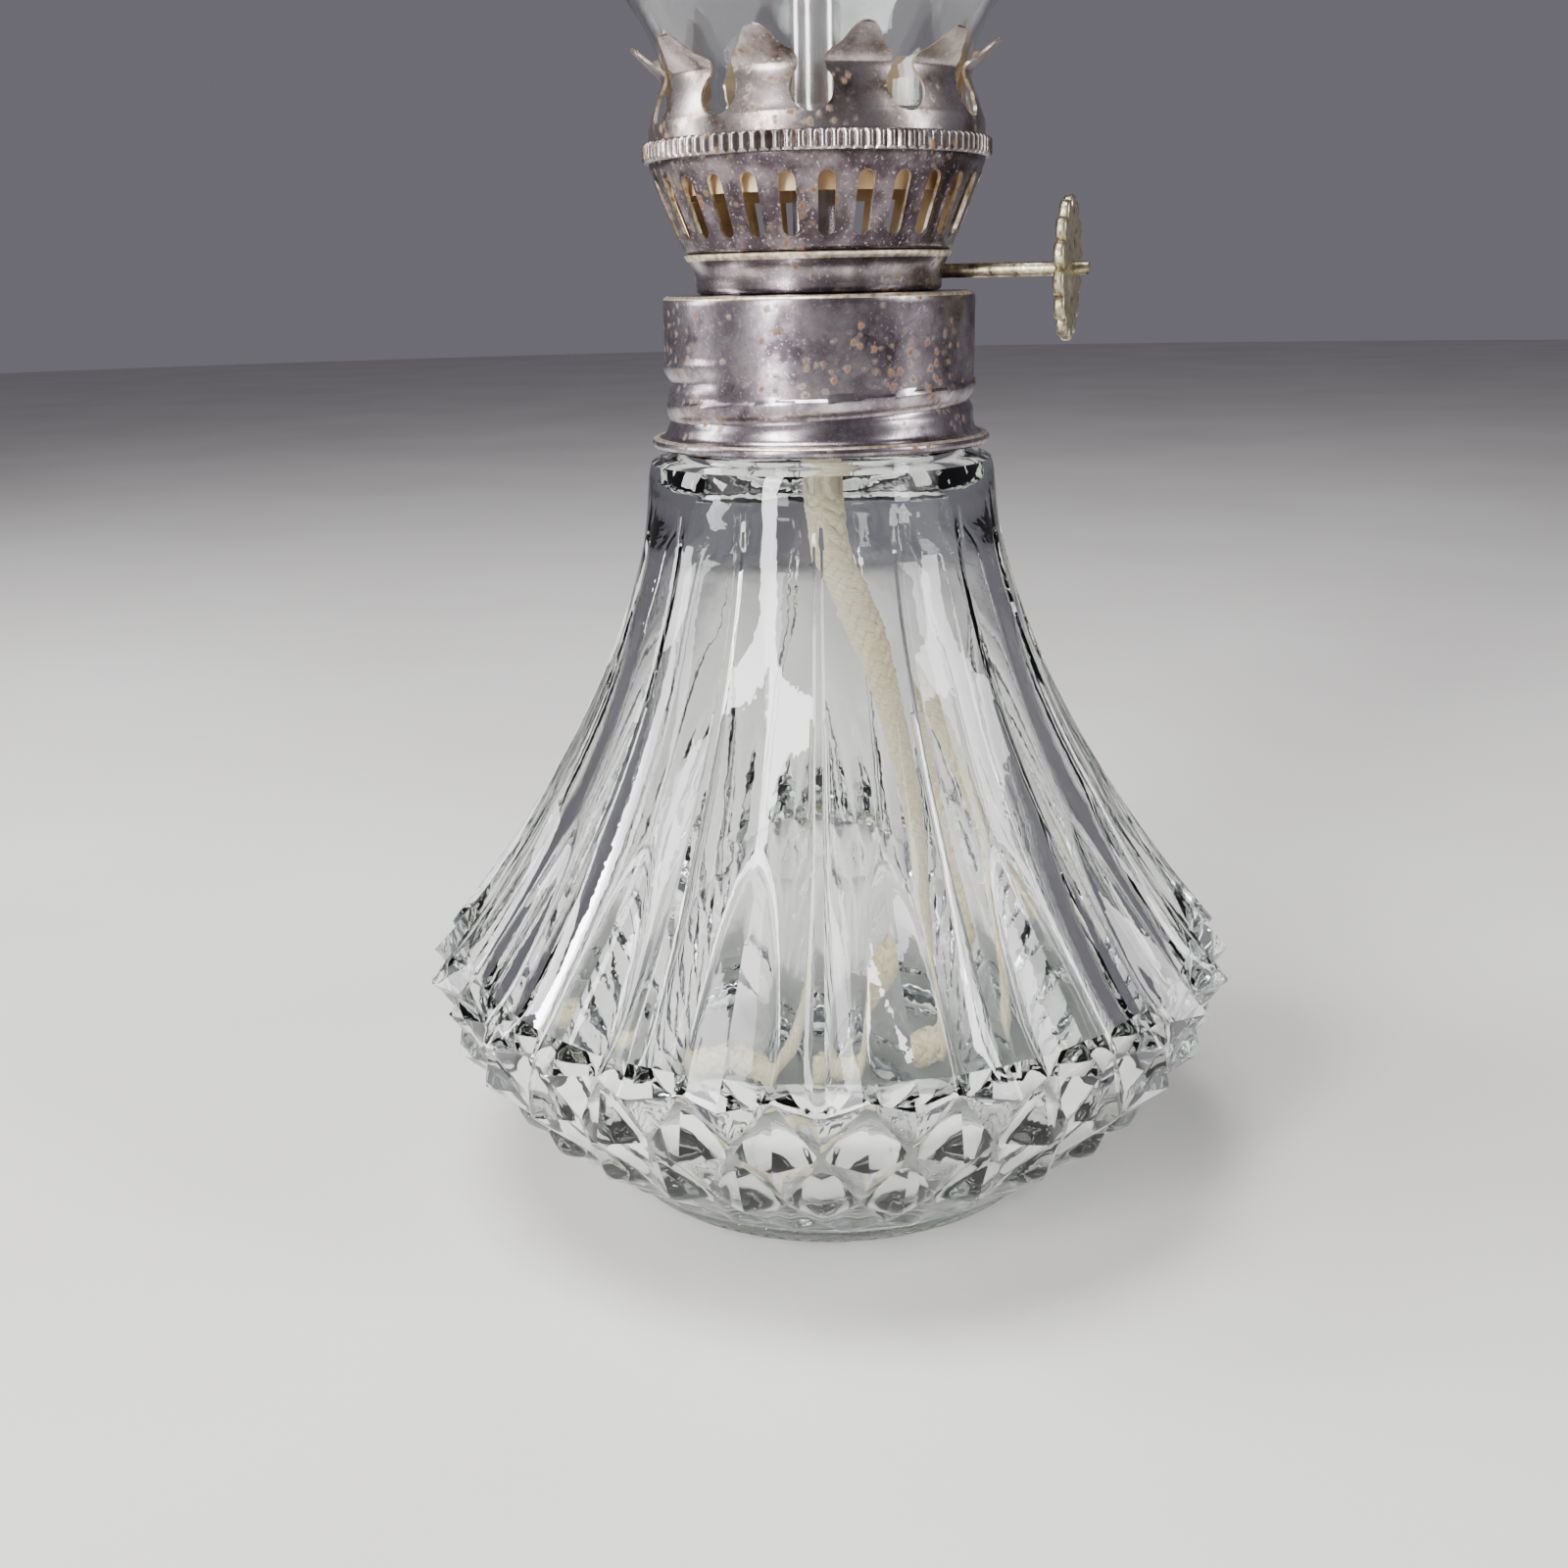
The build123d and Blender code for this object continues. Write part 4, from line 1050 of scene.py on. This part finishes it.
def petalled_knob():
    """Spins the disc's section, then presses the petals into its edge and its two faces."""
    face = [(0.76, KNOB_HALF), (1.5, KNOB_HALF), (1.9, 0.56), (2.3, 0.40), (2.8, 0.30), (3.4, 0.28),
        (4.0, 0.30), (4.6, 0.36)]
    face += [(5.2, 0.46), (5.8, 0.56), (6.3, KNOB_HALF), (6.9, KNOB_HALF), (7.25, 0.58),
        (7.44, 0.44), (KNOB_RADIUS, 0.2), (KNOB_RADIUS, 0.0)]
    outline = face + [(r, -z) for r, z in face[-2::-1]] + [face[0]]
    piece = turn_outline("wick_knob_petalled", outline, KNOB_PETALS * 14)
    angle, radius, height = polar(piece)
    lobe = np.abs(np.cos(np.radians(angle * KNOB_PETALS / 2))) ** 0.6
    outer = np.clip((radius - PETAL_START) / (KNOB_RADIUS - PETAL_START), 0, 1) ** 1.5
    radius = radius - PETAL_DEPTH * outer * (1 - lobe)
    height = height * (1 - 0.25 * outer * (1 - lobe))
    set_polar(piece, angle, radius, height)
    smooth_shading(piece, 45)
    piece.data.transform(Matrix.Translation((0, 0, KNOB_CENTRE * MM)))
    lay_on_spindle(piece)
    return piece


wick_knob = petalled_knob()
wick_knob.data.materials.append(nickel_silver)
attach(wick_knob, "winder")
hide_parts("wick_knob")


# ---------------------------------------------------------------- air basket
# A bowl spun from thin plated steel, with 27 round-ended slots that let cool air in under the
# flame.  The punch turns a narrow bright rim out round each slot.

SLOTS = 27
SLOT_ANGLE = -70.9
SLOT_WIDTH = 1.75
SLOT_LENGTH = 6.1
SLOT_MIDDLE = 110.25
BASKET_TOP_RADIUS = 17.9
SLOT_RIM_RISE = 0.14
SLOT_RIM_REACH = 0.3


def slotted_basket():
    """Spins the bowl, raises a rim round each slot's place and punches the slots through."""
    side = [(9.2, CUP_TOP), (11.5, CUP_TOP), (13.4, CUP_TOP), (13.95, 105.76), (14.3, 105.98),
        (14.5, 106.3)]
    for step in range(1, 37):
        share = step / 36
        side.append((14.5 + 3.28 * share, 106.3 + 8.1 * share))
    side += [(17.86, 114.75), (BASKET_TOP_RADIUS, 115.1), (BASKET_TOP_RADIUS, 115.8),
        (BASKET_TOP_RADIUS, 116.4)]
    piece = turn_outline("air_basket_slotted", sheet_outline(side, SHEET), SLOTS * 18)
    angle, radius, height = polar(piece)
    angle = angle + SLOT_ANGLE % (360 / SLOTS / 18)
    pitch = 360 / SLOTS
    sideways = np.radians((angle - SLOT_ANGLE + pitch / 2) % pitch - pitch / 2) * radius
    past_end = np.maximum(np.abs(height - SLOT_MIDDLE) - (SLOT_LENGTH - SLOT_WIDTH) / 2, 0)
    from_rim = np.hypot(sideways, past_end) - SLOT_WIDTH / 2
    rim = SLOT_RIM_RISE * np.exp(-(np.maximum(from_rim, 0) / SLOT_RIM_REACH) ** 2)
    radius = radius + np.where(height > 106.2, rim, 0)
    set_polar(piece, angle, radius, height)
    bpy.ops.object.select_all(action="DESELECT")
    bpy.ops.mesh.primitive_cylinder_add(vertices=24, radius=SLOT_WIDTH / 2 * MM, depth=8 * MM,
                                        location=(16 * MM, 0, SLOT_MIDDLE * MM), rotation=(0,
                                            math.radians(90), 0))
    punch = bpy.context.object
    bpy.ops.object.transform_apply(location=True, rotation=True)
    for vertex in punch.data.vertices:
        vertex.co.z += math.copysign((SLOT_LENGTH - SLOT_WIDTH) / 2 * MM,
            vertex.co.z - SLOT_MIDDLE * MM)
    shape = bmesh.new()
    for index in range(SLOTS):
        copy = punch.data.copy()
        copy.transform(Matrix.Rotation(math.radians(SLOT_ANGLE + index * pitch), 4, "Z"))
        shape.from_mesh(copy)
        bpy.data.meshes.remove(copy)
    shape.to_mesh(punch.data)
    shape.free()
    cut_away(piece, punch)
    smooth_shading(piece, 40)
    return piece


def heat_tinted_steel():
    """Plated steel heated by the flame: straw to brown tints in clouds."""
    material, tree, output = new_material("heat_tinted_plated_steel")
    place = add(tree, "TexCoord").outputs["Object"]
    tint = noise(tree, place, 140.0, 5.0)
    colour = ramp(tree, tint, ((0.32, "#94714d"), (0.48, "#c2a077"), (0.62, "#dcc398"),
        (0.8, "#e8dcbc")))
    rough = spread(tree, tint, 0.3, 0.7, 0.6, 0.42)
    grain = noise(tree, place, 1600.0, 2.0)
    bump = relief(tree, grain, 0.15, 0.00005)
    surface(tree, output, Base_Color=colour, Metallic=0.1, Roughness=rough, Normal=bump)
    return material


def three_finishes(piece, outside, inside, cut, low, high):
    """Gives outside, inside and the cut edges between two heights their materials."""
    for material in (outside, inside, cut):
        piece.data.materials.append(material)
    for face in piece.data.polygons:
        away = Vector((face.center.x, face.center.y, 0)).normalized()
        facing = face.normal.dot(away)
        punched = abs(facing) < 0.55 and low * MM < face.center.z < high * MM
        face.material_index = 2 if punched else (1 if facing < 0 else 0)


heated_steel = heat_tinted_steel()
air_basket = slotted_basket()
# Painted shade: the basket's outside takes the darker copy of the tin plate.
three_finishes(air_basket, shaded_burner_plate, heated_steel, edge_wear_and_highlight, 106.9, 113.6)
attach(air_basket, "burner")
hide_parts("air_basket")


# ---------------------------------------------------------------- prong crown
# The crown is cut and rolled from springy plated sheet: eleven prongs, parted by keyholes,
# lean in to grip the chimney and turn out at their pointed tips.

PRONGS = 11
PRONG_ANGLE = -59.2
LEDGE = 118.5
KEYHOLE_RADIUS = 2.2


def smooth_through(points, cuts):
    """Points of a smooth curve through the given ones, with a few more between each pair."""
    out = []
    padded = [points[0]] + list(points) + [points[-1]]
    for index in range(1, len(padded) - 2):
        p0, p1, p2, p3 = padded[index - 1:index + 3]
        for cut in range(cuts):
            t = cut / cuts
            out.append(tuple(0.5 * (2 * b + (c - a) * t + (2 * a - 5 * b + 4 * c - d) * t * t
                                    + (3 * b - a - 3 * c + d) * t ** 3) for a, b, c, d in zip(p0,
                                    p1, p2, p3)))
    return out + [points[-1]]


def keyhole_outline():
    """Right half of a gap between prongs: round below, narrow, then open at the tips."""
    half = []
    for step in range(13):
        turn = math.radians(-90 + 139 * step / 12)
        half.append((KEYHOLE_RADIUS * math.cos(turn),
            LEDGE + KEYHOLE_RADIUS + 0.1 + KEYHOLE_RADIUS * math.sin(turn)))
    ogee = [half[-1], (1.34, 123.0), (1.36, 123.6), (1.8, 124.1), (2.6, 124.5), (3.25, 125.0),
        (3.85, 125.6), (4.5, 126.1), (5.2, 126.45)]
    return half + smooth_through(ogee, 4)[1:] + [(5.6, 127.6)]


def pronged_crown():
    """Spins the crown's section and cuts the eleven keyholes that leave the prongs."""
    inner = smooth_through([(17.5, 116.4), (17.5, 118.3), (17.3, 119.0), (16.75, 120.6),
        (16.15, 122.2), (16.0, 122.9),
                            (16.12, 123.5), (16.7, 124.2), (17.9, 125.25), (19.1, 126.45)], 4)
    piece = turn_outline("prong_crown_cut", sheet_outline(inner, -0.36), PRONGS * 30)
    half = keyhole_outline()
    section = half + [(-x, z) for x, z in half[::-1]]
    mesh = bpy.data.meshes.new("keyholes")
    corners, faces = [], []
    for index in range(PRONGS):
        turn = Matrix.Rotation(math.radians(PRONG_ANGLE + 360 * (index + 0.5) / PRONGS), 4, "Z")
        start = len(corners)
        for depth in (9.0, 26.0):
            corners += [turn @ Vector((depth * MM, x * MM, z * MM)) for x, z in section]
        count = len(section)
        faces.append([start + step for step in range(count)][::-1])
        faces.append([start + count + step for step in range(count)])
        for step in range(count):
            following = (step + 1) % count
            faces.append([start + step, start + following, start + count + following,
                start + count + step])
    mesh.from_pydata(corners, [], faces)
    cutter = bpy.data.objects.new("keyholes", mesh)
    bpy.context.scene.collection.objects.link(cutter)
    cut_away(piece, cutter)
    smooth_shading(piece, 40)
    return piece


crown_plate = dulled_tin_plate("dulled_tin_plate_crown", "#9c9290", "#52463f", "#cbc4c2", "#8a5626")
prong_crown = pronged_crown()
three_finishes(prong_crown, crown_plate, heated_steel, edge_wear_and_highlight, 118.4, 126.6)
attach(prong_crown, "burner")
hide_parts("prong_crown")


# ---------------------------------------------------------------- knurled band
# The foot of the crown is rolled between a pair of straight knurls into a hundred ridges, and
# clamps the rim of the basket.

RIDGES = 100
BAND_FOOT = 115.0
BAND_TOP = 117.0
BAND_RADIUS = 18.42
KNURL_RISE = 0.42
KNURL_INSET = 0.26


def knurled_band():
    """Spins the band's section and rolls its hundred upright ridges into the outside."""
    outline = [(17.9, BAND_FOOT), (18.2, BAND_FOOT), (18.36, 115.08), (BAND_RADIUS, 115.25)]
    for step in range(1, 10):
        outline.append((BAND_RADIUS, 115.25 + 1.5 * step / 10))
    outline += [(BAND_RADIUS, 116.75), (18.36, 116.92), (18.2, BAND_TOP), (17.7, BAND_TOP),
        (17.7, 116.4), (17.9, 116.4), (17.9, BAND_FOOT)]
    piece = turn_outline("crown_band_knurled", outline, RIDGES * 8)
    angle, radius, height = polar(piece)
    ridge = np.abs(np.cos(np.radians(angle * RIDGES / 2)))
    rounded = np.clip(np.minimum(height - BAND_FOOT, BAND_TOP - height) / 0.3, 0, 1)
    radius = radius + np.where(radius > 18.1, rounded * (KNURL_RISE * ridge - KNURL_INSET), 0)
    set_polar(piece, angle, radius, height)
    smooth_shading(piece, 50)
    return piece


knurled = knurled_band()
knurled.data.materials.append(crown_plate)
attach(knurled, "burner")
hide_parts("prong_crown")


# ---------------------------------------------------------------- air diffuser
# The ledge that the chimney stands on, with a dished and drilled middle and a skirt that hangs
# inside the basket.  Heat has turned its plating golden brown.

dress(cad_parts["air_diffuser"], heated_steel)


# ---------------------------------------------------------------- wick
# The upper end of the same braided cotton, held in the tube.  It stands a little proud of the
# rim, trimmed flat, and the wheel feeds it up or down.

WICK_FOOT = 97.0
WICK_LENGTH = 44.0
wick_line = [Vector((0, 0, WICK_FOOT + WICK_LENGTH * step / 20)) * MM for step in range(21)]
wick = braided_wick("wick_braid", wick_line, 11)
wick.data.materials.append(cotton)
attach(wick, "wick")
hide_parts("wick")


# ---------------------------------------------------------------- chimney
# Clear glass blown into a turned mould: a straight foot held by the prongs, an onion bulge and
# a long neck.  Both ends are cut and then rounded in the fire.

CHIMNEY_FOOT = 15.9
CHIMNEY_BULGE = 24.5
CHIMNEY_NECK = 14.0
CHIMNEY_WALL = 1.5


def blown_chimney():
    """Spins the chimney's wall, which thins at the bulge, with its two rounded ends."""
    flare = smooth_through([(CHIMNEY_FOOT, LEDGE + 0.7), (CHIMNEY_FOOT, LEDGE + 4.6),
        (17.62, LEDGE + 9.4), (21.9, LEDGE + 17.0),
                            (CHIMNEY_BULGE - 0.06, LEDGE + 26.6), (22.9, LEDGE + 38.5), (19.3,
                            LEDGE + 51.2), (15.9, LEDGE + 64.0),
                            (CHIMNEY_NECK, LEDGE + 76.0), (CHIMNEY_NECK,
                            LEDGE + 94.0), (CHIMNEY_NECK, LEDGE + 112.7)], 6)
    inside = [(r - CHIMNEY_WALL, z) for r, z in flare]
    rim_top = [(13.86, LEDGE + 113.2), (13.5, LEDGE + 113.46), (13.25, LEDGE + 113.5),
        (13.0, LEDGE + 113.46), (12.64, LEDGE + 113.2)]
    rim_foot = [(14.54, LEDGE + 0.3), (14.9, LEDGE + 0.04), (15.15, LEDGE), (15.4, LEDGE + 0.04),
        (15.76, LEDGE + 0.3)]
    piece = turn_outline("chimney_blown_glass",
        flare + rim_top + inside[::-1] + rim_foot + [flare[0]], 128)
    smooth_shading(piece, 60)
    return piece


def blown_clear_glass():
    """Blown glass: clear, hardly tinted, with long soft ripples from the mould."""
    material, tree, output = new_material("blown_clear_glass")
    place = add(tree, "TexCoord").outputs["Object"]
    turned_in_mould = add(tree, "Mapping", Vector=place)
    turned_in_mould.inputs["Scale"].default_value = (0.35, 0.35, 1.0)
    ripple = noise(tree, turned_in_mould.outputs[0], 70.0, 2.0)
    bump = relief(tree, ripple, 0.12, 0.0006)
    shader = surface(tree, output, Base_Color=linear("#fcfffe"), Roughness=0.005, IOR=1.5,
        Normal=bump)
    shader.inputs["Transmission Weight"].default_value = 1.0
    return material


chimney = blown_chimney()
chimney.data.materials.append(blown_clear_glass())
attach(chimney, "chimney")
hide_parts("chimney")
